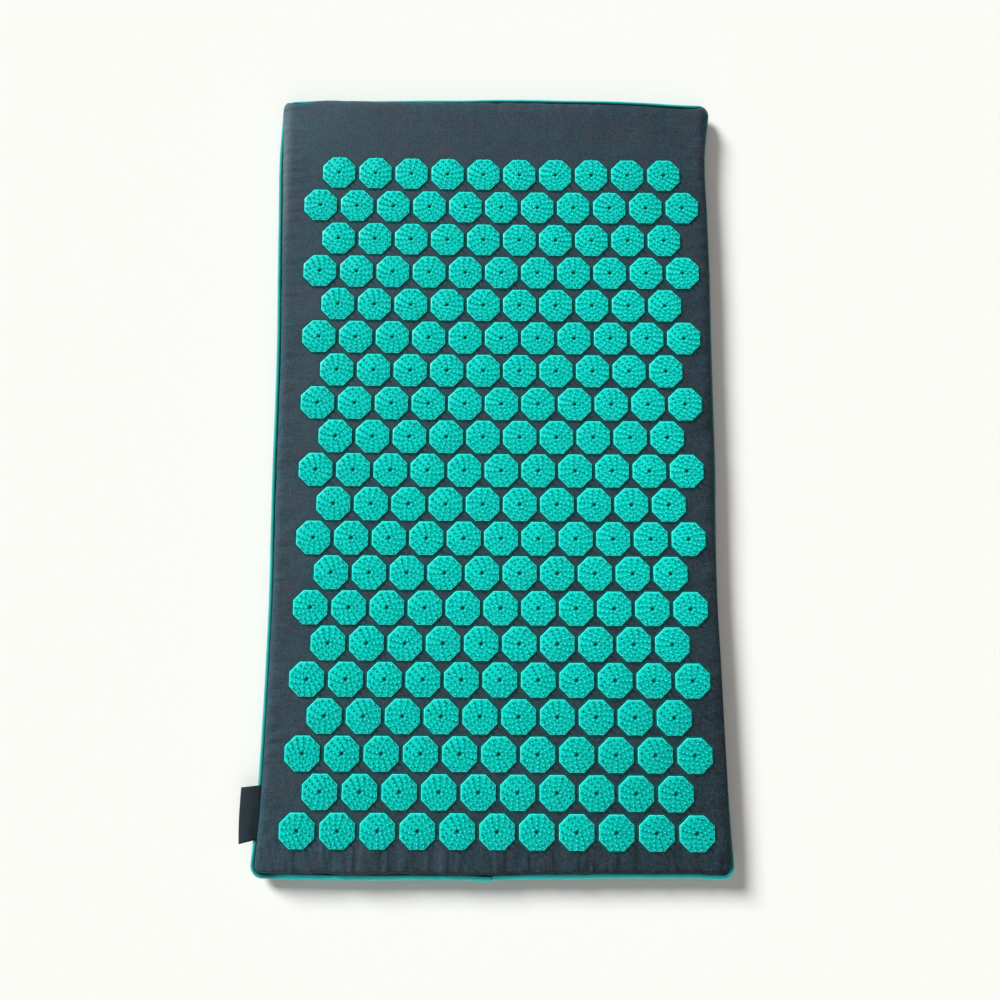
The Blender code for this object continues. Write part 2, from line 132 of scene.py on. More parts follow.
# Puckers and pillows of the cover
PUCKER_DEPTH = 4.4 * MM
PUCKER_WIDTH = 11 * MM
PUCKER_REACH = 34 * MM
PUCKER_RISE = 5 * MM
PUCKER_SLANT = 0.35
SIDE_PUCKERS = 0.55
DISC_CLEAR = 15.0 * MM
PUCKER_ROOM = 10 * MM
PILLOW_ROOM = 6 * MM
PILLOW_HEIGHT = 0.5 * MM

# Foam slab: its room inside the cover, across, along and upwards, and its rounded edge
FOAM_ROOM = Vector((2 * SIDE_DRAW + 5 * MM, 21 * MM, 0.4 * MM))
FOAM_EDGE = 7 * MM
FOAM_CUTS = 24

# Zip
WINDOW_HALF_LENGTH = 160 * MM
WINDOW_LOW = 2.85 * MM
WINDOW_HIGH = 9.65 * MM
TOOTH_PITCH = 1.6 * MM
TOOTH_WIRE = 0.34 * MM
STITCH_PITCH = 3.2 * MM
STITCH_LENGTH = 2.3 * MM
STITCH_WIDTH = 0.5 * MM
STITCH_HEIGHTS = (1.9 * MM, 10.55 * MM)
TAPE_EDGE = 0.15 * MM
METAL_EDGE = 0.16 * MM

# Label
LABEL_CLOTH = 0.4 * MM
LABEL_SHIFT = 2.0 * MM
LABEL_LEAN = 3.4 * MM
LABEL_SPLAY = 2.4 * MM
LABEL_BOW = 0.7 * MM
LABEL_REACH = 2.2 * MM
LABEL_SWAY = 0.45 * MM
LABEL_SAG = 0.9 * MM
LABEL_LIFT = 1.5 * MM
LABEL_FOLD = (0.9 * MM, 0.3 * MM)
LABEL_TUCK = 0.2 * MM
LABEL_WRAP = (25, 120)

# Its upper and lower layer: the gap to the cord, and the height over the fold
LABEL_LAYERS = ((1.25 * MM, 0.5 * MM), (0.45 * MM, -0.35 * MM))

# Discs
DISC_WIDTH = 31.2 * MM
DISC_SPACE = 34.8 * MM
ROW_BOX_WIDTH = 32 * MM
DISC_BED = 0.3 * MM
DISC_PLATE = 1.5 * MM
DISC_BEVEL = 0.55 * MM
DISC_SIDES = 8
# Ring of painted shade round each disc's foot: its width and lift
SHADE_RING_WIDTH = 1.75 * MM
SHADE_RING_LIFT = 0.35 * MM
CENTRE_HOLE_RADIUS = 1.85 * MM
PIN_HOLE_RADIUS = 0.75 * MM
PIN_HOLE_PLACE = 12.6 * MM
SPIKE_RINGS = ((6, 3.6 * MM), (9, 7.2 * MM), (12, 10.9 * MM), (15, 14.25 * MM))
SPIKE_SIDES = 6
SPIKE_FOOT = 1.35 * MM
SPIKE_WAIST = 0.72 * MM
SPIKE_WAIST_SHARE = 0.42
SPIKE_TIP = 0.2 * MM
SPIKE_HEIGHT = 4.0 * MM
SPIKE_SUNK = 0.1 * MM
DISC_TILT = 0.6

# How the disc rows open towards the mat's corners, in millimetres: weights of the powers of the place
# across and along the field, which run from -1 to 1
FIELD_MIDDLE = (5.5 * MM, -21.3 * MM)
FIELD_REACH = (174 * MM, 308 * MM)
SPREAD_ACROSS = (
    (0.72, 0, 0), (-1.49, 1, 0), (-0.73, 0, 1), (-0.26, 1, 1),
    (-1.81, 0, 2), (3.5, 1, 2), (0.98, 3, 0), (1.03, 0, 3),
)
SPREAD_ALONG = (
    (-0.51, 0, 0), (0.28, 1, 0), (-3.33, 0, 1), (0.32, 2, 0),
    (0.8, 0, 2), (0.75, 2, 1), (-0.66, 1, 2), (6.32, 0, 3),
)

SEED = 11


def body_for(piece, replaced=(), body="mat"):
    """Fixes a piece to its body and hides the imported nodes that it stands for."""
    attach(piece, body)
    if replaced:
        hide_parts(*replaced)
    return piece


def corners_of(name):
    """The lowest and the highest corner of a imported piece's box."""
    return [Vector(corner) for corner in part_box(name)]


def mesh_of(bm, name):
    """The mesh of a bmesh, which is used up."""
    mesh = bpy.data.meshes.new(name)
    bm.to_mesh(mesh)
    bm.free()
    return mesh


def finish_mesh(bm, name, materials, smooth_angle=None):
    """A bmesh as a finished object at the origin."""
    return place_mesh(mesh_of(bm, name), name, materials, smooth_angle)


def place_mesh(mesh, name, materials, smooth_angle=None):
    """A mesh as a finished object at the origin."""
    for material in materials:
        mesh.materials.append(material)
    if smooth_angle is not None:
        mesh.shade_smooth()
        mesh.set_sharp_from_angle(angle=math.radians(smooth_angle))
    piece = bpy.data.objects.new(name, mesh)
    bpy.context.collection.objects.link(piece)
    return piece


def faces_of(verts):
    """The faces that meet at some vertices."""
    return {face for vert in verts for face in vert.link_faces}


def add_copy(bm, mesh, matrix):
    """Adds a copy of a mesh at a place."""
    before = len(bm.verts)
    bm.from_mesh(mesh)
    bm.verts.ensure_lookup_table()
    bmesh.ops.transform(bm, matrix=matrix, verts=bm.verts[before:])


def add_cone(bm, sides, low, high, depth, matrix):
    """Adds a closed cone or cylinder, and gives its vertices."""
    made = bmesh.ops.create_cone(
        bm,
        cap_ends=True,
        segments=sides,
        radius1=low,
        radius2=high,
        depth=depth,
        matrix=matrix,
    )
    return made["verts"]


def round_edges(bm, edges, offset, segments, material=-1, clamp=False):
    """Rounds some edges."""
    bmesh.ops.bevel(
        bm,
        geom=edges,
        offset=offset,
        segments=segments,
        profile=0.5,
        affect="EDGES",
        material=material,
        clamp_overlap=clamp,
    )


def rounded_block(middle, size, offset, segments):
    """A block with rounded edges."""
    bm = bmesh.new()
    bmesh.ops.create_cube(bm, size=1, matrix=Matrix.LocRotScale(middle, None, size))
    round_edges(bm, bm.edges[:], offset, segments)
    return bm


def thicken(piece, thickness, offset=-1.0):
    """Gives a sheet the thickness of its cloth."""
    solid = piece.modifiers.new("cloth", "SOLIDIFY")
    solid.thickness = thickness
    solid.offset = offset


def cut_away(piece, cutter):
    """A piece's mesh with the cutter taken out of it; both objects are used up."""
    cut = piece.modifiers.new("cut", "BOOLEAN")
    cut.operation = "DIFFERENCE"
    cut.solver = "EXACT"
    cut.object = cutter
    bpy.context.view_layer.update()
    mesh = bpy.data.meshes.new_from_object(piece.evaluated_get(bpy.context.evaluated_depsgraph_get()))
    for part in (piece, cutter):
        bpy.data.objects.remove(part)
    return mesh


def smooth_step(share):
    """0 to 1 with flat ends."""
    share = min(max(share, 0.0), 1.0)
    return share * share * (3 - 2 * share)


# Shaders

# Spans of a noise texture that become the whole span from 0 to 1: clouds, and the fibres of the cotton
SOFT = (0.3, 0.7)
FIBRE = (0.34, 0.66)

# Creases of the cover by edge: the axis, where they start and are full, their scale, turn and depth
CREASES = (
    ("Y", -0.32, -0.35, (96, 22, 96), -0.45, 1.0),
    ("Y", 0.325, 0.36, (60, 20, 60), 0.2, 0.3),
    ("X", -0.18, -0.198, (20, 110, 110), 0.12, 0.6),
    ("X", 0.184, 0.2, (20, 90, 90), -0.12, 0.5),
)

# Colours of a disc's plastic from its plate to the tips of its spikes: paler upwards as painted highlight
# on the spikes, darker at the plate as painted shade between them
DISC_PAINTED_LIGHT_TONES = (
    (0.0, (3, 231, 212)),
    (0.12, (6, 243, 224)),
    (0.45, (40, 248, 232)),
    (1.0, (104, 254, 246)),
)


def srgb(red, green, blue):
    """A colour given as screen values from 0 to 255, as linear light."""
    shades = []
    for value in (red, green, blue):
        share = value / 255
        shades.append(share / 12.92 if share <= 0.04045 else ((share + 0.055) / 1.055) ** 2.4)
    return tuple(shades)


def set_inputs(made, inputs):
    """Sets a node's unlinked inputs."""
    for key, value in inputs.items():
        made.inputs[key].default_value = value


def new_material(name, colour, roughness, metallic=0.0, specular=0.5):
    """A Principled material and handles to its tree."""
    material = bpy.data.materials.new(name)
    material.use_nodes = True
    tree = material.node_tree
    shader = tree.nodes["Principled BSDF"]
    set_inputs(shader, {"Base Color": (*colour, 1.0), "Roughness": roughness})
    set_inputs(shader, {"Metallic": metallic, "Specular IOR Level": specular})
    material.diffuse_color = (*colour, 1.0)
    return material, tree, shader


def node(tree, kind, inputs=None, **settings):
    """A new node with its settings and unlinked inputs."""
    made = tree.nodes.new(kind)
    for key, value in settings.items():
        setattr(made, key, value)
    set_inputs(made, inputs or {})
    return made


def math_node(tree, operation, first, second=None, clamp=False):
    """A Math node that takes links or numbers."""
    made = node(tree, "ShaderNodeMath", operation=operation, use_clamp=clamp)
    for index, value in enumerate((first, second)):
        if value is None:
            continue
        if isinstance(value, (int, float)):
            made.inputs[index].default_value = value
        else:
            tree.links.new(value, made.inputs[index])
    return made.outputs[0]


def stretch(tree, value, low, high, clamp=True):
    """Stretches a value between two limits to the span from 0 to 1."""
    made = node(tree, "ShaderNodeMapRange", {"From Min": low, "From Max": high}, clamp=clamp)
    tree.links.new(value, made.inputs["Value"])
    return made.outputs["Result"]


def object_place(tree, scale=(1, 1, 1), turn=0.0):
    """Object coordinates, turned about Z and scaled."""
    mapping = node(tree, "ShaderNodeMapping", {"Scale": scale, "Rotation": (0, 0, turn)})
    tree.links.new(node(tree, "ShaderNodeTexCoord").outputs["Object"], mapping.inputs["Vector"])
    return mapping.outputs["Vector"]


def parts_of(tree, vector):
    """The X, Y and Z of a vector."""
    split = node(tree, "ShaderNodeSeparateXYZ")
    tree.links.new(vector, split.inputs["Vector"])
    return split.outputs


def noise_value(tree, vector, scale, detail=3.0, roughness=0.55):
    """A noise texture's value."""
    made = node(tree, "ShaderNodeTexNoise", {"Scale": scale, "Detail": detail, "Roughness": roughness})
    tree.links.new(vector, made.inputs["Vector"])
    return made.outputs["Fac"]


def patches(tree, vector, scale, span=SOFT, detail=3.0):
    """Uneven patches from 0 to 1, with the steeper edges the narrower the span of the noise."""
    return stretch(tree, noise_value(tree, vector, scale, detail), *span)


def thread_wave(tree, vector, axis, pitch, distortion=1.0):
    """Rounded threads side by side along an axis."""
    inputs = {"Scale": math.pi / 10 / pitch, "Distortion": distortion, "Detail": 2.0, "Detail Scale": 1.5}
    bands = {"wave_type": "BANDS", "wave_profile": "SIN", "bands_direction": axis}
    wave = node(tree, "ShaderNodeTexWave", inputs, **bands)
    tree.links.new(vector, wave.inputs["Vector"])
    return wave.outputs["Fac"]


def plain_weave(tree, vector, pitch):
    """Threads that cross over and under each other."""
    warp = thread_wave(tree, vector, "X", pitch)
    return math_node(tree, "MAXIMUM", warp, thread_wave(tree, vector, "Y", pitch))


def mix_colour(tree, share, first, second):
    """A mix of two colours, each a tuple or a link."""
    mix = node(tree, "ShaderNodeMix", data_type="RGBA")
    slots = ((0, share), (6, first), (7, second))
    for index, value in slots:
        if isinstance(value, (int, float)):
            mix.inputs[index].default_value = value
        elif isinstance(value, tuple):
            mix.inputs[index].default_value = (*value, 1.0)
        else:
            tree.links.new(value, mix.inputs[index])
    return mix.outputs[2]


def paint(tree, shader, share, first, second):
    """Gives a shader a mix of two colours."""
    tree.links.new(mix_colour(tree, share, first, second), shader.inputs["Base Color"])


def bump(tree, shader, height, strength, distance):
    """Bumps a shader's normal by a height."""
    made = node(tree, "ShaderNodeBump", {"Strength": strength, "Distance": distance})
    tree.links.new(height, made.inputs["Height"])
    tree.links.new(made.outputs["Normal"], shader.inputs["Normal"])


def add_up(tree, *parts):
    """The sum of values, each with its weight."""
    total = None
    for value, weight in parts:
        part = math_node(tree, "MULTIPLY", value, weight)
        total = part if total is None else math_node(tree, "ADD", total, part)
    return total


def cover_cotton():
    """Slate blue plain-woven cotton with slubs in both threads."""
    material, tree, shader = new_material("cover_cotton", srgb(50, 66, 76), 0.85, specular=0.12)
    place = object_place(tree)
    weave = plain_weave(tree, place, 0.75 * MM)
    slub_x = patches(tree, object_place(tree, (150, 700, 700)), 1.0, FIBRE)
    slub_y = patches(tree, object_place(tree, (700, 150, 700)), 1.0, FIBRE)
    fleck = patches(tree, place, 560.0, FIBRE, 2.0)
    cloud = patches(tree, place, 24.0)
    # Painted light: the cotton lighter towards the far left corner
    fade = stretch(tree, painted_light_gradient(tree), -0.4, 0.4, clamp=False)
    threads = ((slub_x, 0.13), (slub_y, 0.14), (fleck, 0.25), (weave, 0.06))
    tone = add_up(tree, *threads, (cloud, 0.11), (fade, 0.52))
    tone = math_node(tree, "SUBTRACT", tone, 0.11, clamp=True)
    cool = mix_colour(tree, tone, srgb(8, 22, 29), srgb(68, 91, 102))
    warm = mix_colour(tree, tone, srgb(16, 18, 24), srgb(82, 86, 96))
    hue = math_node(tree, "MULTIPLY", patches(tree, place, 46.0, (0.42, 0.7)), 0.6)
    cloth = mix_colour(tree, hue, cool, warm)
    # Painted sheen along the left side's far third
    cloth = mix_colour(tree, painted_sheen_edge(tree), cloth, srgb(150, 166, 172))
    # Painted shade next to the seam, in dark teal
    cloth = mix_colour(tree, painted_seam_shade(tree), cloth, srgb(6, 46, 52))
    # Painted teal bounce light from the piping on the shoulder
    paint(tree, shader, painted_teal_bounce(tree), cloth, srgb(8, 98, 104))
    set_inputs(shader, {"Sheen Weight": 0.03, "Sheen Roughness": 0.5, "Sheen Tint": (0.55, 0.75, 1.0, 1.0)})
    height = add_up(tree, (weave, 0.1), (slub_x, 0.03), (slub_y, 0.03), (creases(tree), 1.9))
    bump(tree, shader, height, 1.0, 1.0 * MM)
    return material


def creases(tree):
    """Short creases that run in from the two ends and the two sides."""
    total = None
    for axis, start, end, scale, turn, weight in CREASES:
        lines = noise_value(tree, object_place(tree, scale, turn), 1.0, 1.5, 0.4)
        inputs = {"From Min": 0.3, "From Max": 0.74}
        fold = node(tree, "ShaderNodeMapRange", inputs, interpolation_type="SMOOTHERSTEP")
        tree.links.new(lines, fold.inputs["Value"])
        margin = position_share(tree, axis, start, end, weight)
        part = math_node(tree, "MULTIPLY", fold.outputs["Result"], margin)
        total = part if total is None else math_node(tree, "ADD", total, part)
    return total


def position_share(tree, axis, start, end, most=1.0):
    """A share that rises from 0 to its most between two places along an axis of the object."""
    inputs = {"From Min": start, "From Max": end, "To Max": most}
    made = node(tree, "ShaderNodeMapRange", inputs, interpolation_type="SMOOTHSTEP")
    tree.links.new(parts_of(tree, object_place(tree))[axis], made.inputs["Value"])
    return made.outputs["Result"]


def corner_share(tree, across, along):
    """A share that rises both across and along the object."""
    share = position_share(tree, "X", *across)
    return math_node(tree, "MULTIPLY", share, position_share(tree, "Y", *along))


def seam_share(tree, far, near):
    """A share that rises from 0 to 1 as a spot comes near to the seam's height."""
    height = parts_of(tree, object_place(tree))["Z"]
    gap = math_node(tree, "ABSOLUTE", math_node(tree, "SUBTRACT", height, SEAM_HEIGHT))
    return stretch(tree, gap, far, near)


def painted_seam_shade(tree):
    """How far the cotton is darkened next to the seam, as painted shade, deeper along the left side."""
    left = position_share(tree, "X", -0.19, -0.203, 0.2)
    kept = math_node(tree, "SUBTRACT", 1.0, position_share(tree, "Y", 0.22, 0.34, 0.7))
    strength = math_node(tree, "ADD", math_node(tree, "MULTIPLY", left, kept), 0.22)
    return math_node(tree, "MULTIPLY", seam_share(tree, 10.5 * MM, 2.0 * MM), strength)


def painted_sheen_edge(tree):
    """How far the cotton is painted paler, as a sheen, along the left side's far third."""
    return corner_share(tree, (-0.198, -0.2115), (0.18, 0.28, 0.3))


def painted_teal_bounce(tree):
    """How much teal light bounced from the piping is painted on the cotton's shoulder, on the left and the
    far side.
    """
    left = position_share(tree, "X", -0.19, -0.2, 0.5)
    far = position_share(tree, "Y", 0.35, 0.362, 0.4)
    edge = math_node(tree, "MAXIMUM", left, far)
    return math_node(tree, "MULTIPLY", seam_share(tree, 12.3 * MM, 6.0 * MM), edge)


def painted_light_gradient(tree):
    """How far a spot lies towards the far left corner, where the cotton is painted lighter as light
    falloff, with a painted glow near that corner and along the far edge.
    """
    spot = object_place(tree)
    across, along, _ = parts_of(tree, spot)
    corner = node(tree, "ShaderNodeVectorMath", operation="DISTANCE")
    corner.inputs[1].default_value = (-HALF_WIDTH, HALF_LENGTH, COVER_TOP)
    tree.links.new(spot, corner.inputs[0])
    near = stretch(tree, corner.outputs["Value"], 0.11, 0.01)
    edge = position_share(tree, "Y", 0.352, 0.366, 0.2)
    return add_up(tree, (across, -1.2), (along, 0.4), (near, 0.3), (edge, 1.0))


def piping_cotton():
    """Teal cotton binding, cut on the bias."""
    material, tree, shader = new_material("piping_cotton", srgb(50, 196, 192), 0.8, specular=0.12)
    uv = node(tree, "ShaderNodeTexCoord").outputs["UV"]
    mapping = node(tree, "ShaderNodeMapping", {"Rotation": (0, 0, math.radians(45))})
    tree.links.new(uv, mapping.inputs["Vector"])
    weave = plain_weave(tree, mapping.outputs["Vector"], 0.7 * MM)
    cloud = patches(tree, object_place(tree), 60.0)
    tone = add_up(tree, (weave, 0.55), (cloud, 0.45))
    # Painted light and shade on the cord: painted light at the near left corner, painted shade at the near
    # right corner and along the left side
    painted_light_near_left = corner_share(tree, (-0.206, -0.18), (-0.36, -0.369))
    painted_shade_near_right = corner_share(tree, (0.195, 0.205), (-0.37, -0.35))
    painted_light_share = position_share(tree, "X", -0.19, -0.205, 0.7)
    wear_and_painted_light = (
        (painted_light_near_left, srgb(50, 238, 234), srgb(84, 254, 250)),
        (painted_shade_near_right, srgb(34, 122, 118), srgb(60, 150, 144)),
        (painted_light_share, srgb(30, 132, 130), srgb(64, 178, 172)),
    )
    cloth = mix_colour(tree, tone, srgb(26, 172, 170), srgb(70, 220, 214))
    for share, low, high in wear_and_painted_light:
        cloth = mix_colour(tree, share, cloth, mix_colour(tree, tone, low, high))
    # Painted shade on the cord's side that lies in the seam, lighter where the cord is painted light
    kept = math_node(tree, "SUBTRACT", 1.0, painted_light_near_left)
    cord_painted_shade = math_node(tree, "MULTIPLY", crease(tree, uv, 0.34, 0.19), kept)
    cloth = mix_colour(tree, cord_painted_shade, cloth, srgb(2, 72, 76))
    paint(tree, shader, crease(tree, uv, 0.18, 0.15), cloth, srgb(2, 72, 76))
    bump(tree, shader, weave, 0.5, 0.2 * MM)
    return material


def crease(tree, uv, start, end):
    """How deep in the seam a spot of the cord lies, from its place round the cord."""
    girth = 2 * math.pi * PIPING_RADIUS
    off_back = math_node(tree, "SUBTRACT", parts_of(tree, uv)["Y"], girth / 2)
    return stretch(tree, math_node(tree, "ABSOLUTE", off_back), girth * start, girth * end)


def join_shade():
    """The cord's core seen between the two ends of the piping, coloured dark as painted shade in the gap.
    """
    material, tree, shader = new_material("piping_join_painted_shade", srgb(14, 62, 64), 0.9, specular=0.1)
    paint(tree, shader, noise_value(tree, object_place(tree), 900.0), srgb(8, 50, 52), srgb(22, 76, 78))
    return material


def disc_plastic():
    """Turquoise moulded plastic, painted paler towards the thin tips as a highlight, and painted darker
    near two corners of the mat as shade.
    """
    material, tree, shader = new_material("disc_plastic", srgb(8, 208, 194), 0.4, specular=0.12)
    place = object_place(tree)
    plate_top = COVER_TOP + DISC_BED + DISC_PLATE
    rise = math_node(tree, "SUBTRACT", parts_of(tree, place)["Z"], plate_top)
    rise = math_node(tree, "MULTIPLY", rise, 1 / SPIKE_HEIGHT, clamp=True)
    ramp = node(tree, "ShaderNodeValToRGB")
    while len(ramp.color_ramp.elements) < len(DISC_PAINTED_LIGHT_TONES):
        ramp.color_ramp.elements.new(0.5)
    for element, (spot, tone) in zip(ramp.color_ramp.elements, DISC_PAINTED_LIGHT_TONES):
        element.position = spot
        element.color = (*srgb(*tone), 1.0)
    tree.links.new(rise, ramp.inputs["Fac"])
    flow = math_node(tree, "MULTIPLY", patches(tree, place, 35.0, detail=1.0), 0.16)
    tint = mix_colour(tree, flow, ramp.outputs["Color"], srgb(30, 240, 226))
    # Painted shade: the discs darker along the near end, more on the right, and near the far right corner
    right = math_node(tree, "ADD", position_share(tree, "X", 0.02, 0.17, 0.3), 0.3)
    near_end = math_node(tree, "MULTIPLY", position_share(tree, "Y", -0.08, -0.32), right)
    painted_disc_shade = math_node(tree, "ADD", near_end, corner_share(tree, (0.06, 0.18, 0.3), (0.18, 0.3)))
    paint(tree, shader, painted_disc_shade, tint, srgb(2, 192, 178))
    set_inputs(shader, {"Specular Tint": (0.45, 1.0, 0.97, 1.0), "Subsurface Weight": 0.8})
    set_inputs(shader, {"Subsurface Radius": (0.3, 1.0, 0.95), "Subsurface Scale": 5 * MM})
    bump(tree, shader, noise_value(tree, place, 900.0), 0.12, 0.05 * MM)
    return material


def painted_highlight_rim():
    """The thin moulded edge of a disc, painted paler as a highlight."""
    material, tree, shader = new_material("disc_rim_painted_highlight", srgb(70, 226, 214), 0.3, specular=0.3)
    painted_light_share = patches(tree, object_place(tree), 220.0, (0.35, 0.65))
    paint(tree, shader, painted_light_share, srgb(40, 234, 220), srgb(104, 252, 244))
    return material


def painted_shade_ring():
    """A dark teal ring round the foot of each disc, as painted shade."""
    material, tree, shader = new_material("disc_painted_shade_ring", srgb(4, 84, 87), 0.6, specular=0.1)
    cloud = patches(tree, object_place(tree), 160.0)
    paint(tree, shader, cloud, srgb(0, 70, 70), srgb(2, 90, 89))
    bump(tree, shader, cloud, 0.3, 0.1 * MM)
    return material


def label_ribbon():
    """Near-black woven ribbon."""
    material, tree, shader = new_material("label_ribbon", srgb(15, 27, 34), 0.8, specular=0.15)
    place = object_place(tree)
    warp = thread_wave(tree, place, "Y", 1.1 * MM, 0.4)
    weft = thread_wave(tree, place, "X", 0.9 * MM, 0.4)
    # Painted shade on the ribbon where it is tucked into the seam
    painted_tuck_shade = position_share(tree, "X", -0.219, -0.21)
    tone = add_up(tree, (warp, 0.4), (weft, 0.2), (patches(tree, place, 80.0), 0.4), (painted_tuck_shade, -0.45))
    paint(tree, shader, tone, srgb(10, 20, 26), srgb(40, 54, 62))
    set_inputs(shader, {"Sheen Weight": 0.1})
    bump(tree, shader, warp, 0.4, 0.15 * MM)
    return material


def foam_material():
    """Pale open-cell foam."""
    material, tree, shader = new_material("foam", srgb(232, 226, 208), 0.95, specular=0.1)
    cells = node(tree, "ShaderNodeTexVoronoi", {"Scale": 900.0})
    tree.links.new(object_place(tree), cells.inputs["Vector"])
    paint(tree, shader, cells.outputs["Distance"], srgb(206, 198, 176), srgb(240, 235, 220))
    bump(tree, shader, cells.outputs["Distance"], 0.6, 0.3 * MM)
    return material


def zip_ribbon():
    """Dark woven zip tape with ribs across it."""
    material, tree, shader = new_material("zip_ribbon", srgb(40, 54, 64), 0.8, specular=0.25)
    place = object_place(tree)
    ribs = thread_wave(tree, place, "X", 0.8 * MM, 0.3)
    tone = add_up(tree, (ribs, 0.6), (patches(tree, place, 300.0), 0.4))
    paint(tree, shader, tone, srgb(26, 38, 46), srgb(56, 72, 82))
    bump(tree, shader, ribs, 0.5, 0.2 * MM)
    return material


def zip_nylon():
    """Dark glossy nylon of the zip's coil."""
    material, tree, shader = new_material("zip_coil", srgb(34, 46, 54), 0.35)
    paint(tree, shader, patches(tree, object_place(tree), 500.0), srgb(26, 38, 46), srgb(44, 58, 66))
    return material


def zip_metal():
    """Dark nickel, a little scratched."""
    material, tree, shader = new_material("zip_metal", srgb(120, 124, 128), 0.3, metallic=1.0)
    scratch = patches(tree, object_place(tree, (300, 4000, 4000)), 1.0, (0.4, 0.6))
    wear_and_painted_light = patches(tree, object_place(tree), 900.0)
    paint(tree, shader, wear_and_painted_light, srgb(104, 108, 112), srgb(142, 146, 150))
    rough = math_node(tree, "ADD", math_node(tree, "MULTIPLY", scratch, 0.2), 0.22)
    tree.links.new(rough, shader.inputs["Roughness"])
    bump(tree, shader, scratch, 0.15, 0.05 * MM)
    return material


def thread_material():
    """Slate sewing thread."""
    material, tree, shader = new_material("sewing_thread", srgb(62, 78, 88), 0.7, specular=0.3)
    twist = thread_wave(tree, object_place(tree, turn=math.radians(40)), "X", 0.35 * MM, 0.2)
    paint(tree, shader, twist, srgb(44, 58, 68), srgb(84, 102, 112))
    bump(tree, shader, twist, 0.5, 0.1 * MM)
    return material


# Outline and cover

# For each side: its outward direction, its direction of travel, its reach, half length and draw
END_REACH = HALF_LENGTH - END_BOW
SIDES = (
    (Vector((1, 0)), Vector((0, 1)), HALF_WIDTH, END_REACH, SIDE_DRAW),
    (Vector((0, 1)), Vector((-1, 0)), END_REACH, HALF_WIDTH, -END_BOW),
    (Vector((-1, 0)), Vector((0, -1)), HALF_WIDTH, END_REACH, SIDE_DRAW),
    (Vector((0, -1)), Vector((1, 0)), END_REACH, HALF_WIDTH, -END_BOW),
)


def outline_point(side, share, inset):
    """A point on a side of the outline; share runs from -1 to 1 between the corners' middles."""
    outward, along, reach, half, draw = SIDES[side]
    radius = max(CORNER_RADIUS - inset, 0.0)
    straight = half - inset - radius
    travel = share * (straight + radius * math.pi / 4)
    fade = max(0.0, 1 - max(inset - SHOULDER_RUN - COVER_INSET, 0) / DRAW_FADE)
    if abs(travel) <= straight:
        bulge = 1 - (travel / straight) ** 4
        offset = reach - inset - draw * bulge * fade
        forward = travel
    else:
        turn = (abs(travel) - straight) / radius
        offset = reach - inset - radius * (1 - math.cos(turn))
        forward = math.copysign(straight + radius * math.sin(turn), travel)
    return outward * offset + along * forward


def along_table(table, share):
    """A smooth curve through a table's values; share runs from -1 to 1."""
    place = min(max((share + 1) / 2 * (len(table) - 1), 0.0), len(table) - 1.0001)
    index = int(place)
    part = place - index
    last = len(table) - 1
    p0, p1, p2, p3 = (table[min(max(index + step, 0), last)] for step in (-1, 0, 1, 2))
    slope_in = (p2 - p0) / 2
    slope_out = (p3 - p1) / 2
    curve = (2 * part**3 - 3 * part**2 + 1) * p1 + (part**3 - 2 * part**2 + part) * slope_in
    return curve + (3 * part**2 - 2 * part**3) * p2 + (part**3 - part**2) * slope_out


def by_corner(table, share):
    """A smooth curve through a table's values, which lie closer together towards the corners."""
    return along_table(table, math.asin(min(max(share, -1.0), 1.0)) * 2 / math.pi)


def wander(x, y):
    """How far a point of the soft cover lies off the straight."""
    edges = (
        (RIGHT_WANDER, y / HALF_LENGTH, HALF_WIDTH - x, Vector((1, 0))),
        (FAR_WANDER, x / HALF_WIDTH, HALF_LENGTH - y, Vector((0, 1))),
        (LEFT_WANDER, y / HALF_LENGTH, HALF_WIDTH + x, Vector((-1, 0))),
        (NEAR_WANDER, x / HALF_WIDTH, HALF_LENGTH + y, Vector((0, -1))),
    )
    shift = Vector((0, 0))
    for table, share, depth, outward in edges:
        fade = 1 - smooth_step(depth / WANDER_FADE)
        if fade > 0:
            shift += outward * (along_table(table, share) * MM * fade)
    return shift


def seam_height(point):
    """Height of the seam, which dips along the middle of the bare end."""
    past = (point.y - (HALF_LENGTH - DIP_RUN)) / DIP_RUN
    end_share = min(max(past, 0.0), 1.0)
    middle_share = 1 - min(abs(point.x) / HALF_WIDTH, 1.0) ** 4
    return SEAM_HEIGHT - BARE_END_DIP * end_share * middle_share


def seam_travel(side, share):
    """Distance along the seam, for patterns that follow it."""
    before = (0, 2 * HALF_LENGTH, 2 * (HALF_LENGTH + HALF_WIDTH), 4 * HALF_LENGTH + 2 * HALF_WIDTH)
    return before[side] + (1 + share) * SIDES[side][3]


def grid_place(x, y, columns, rows):
    """For a grid point from -1 to 1: its side, its share along it and its rings from the rim."""
    from_side = (1 - abs(x)) * columns / 2
    from_end = (1 - abs(y)) * rows / 2
    ring = min(from_side, from_end)
    if from_side <= from_end:
        share = y / max(1 - 2 * ring / rows, 1e-6)
        return (0, share, ring) if x > 0 else (2, -share, ring)
    share = x / max(1 - 2 * ring / columns, 1e-6)
    return (1, -share, ring) if y > 0 else (3, share, ring)


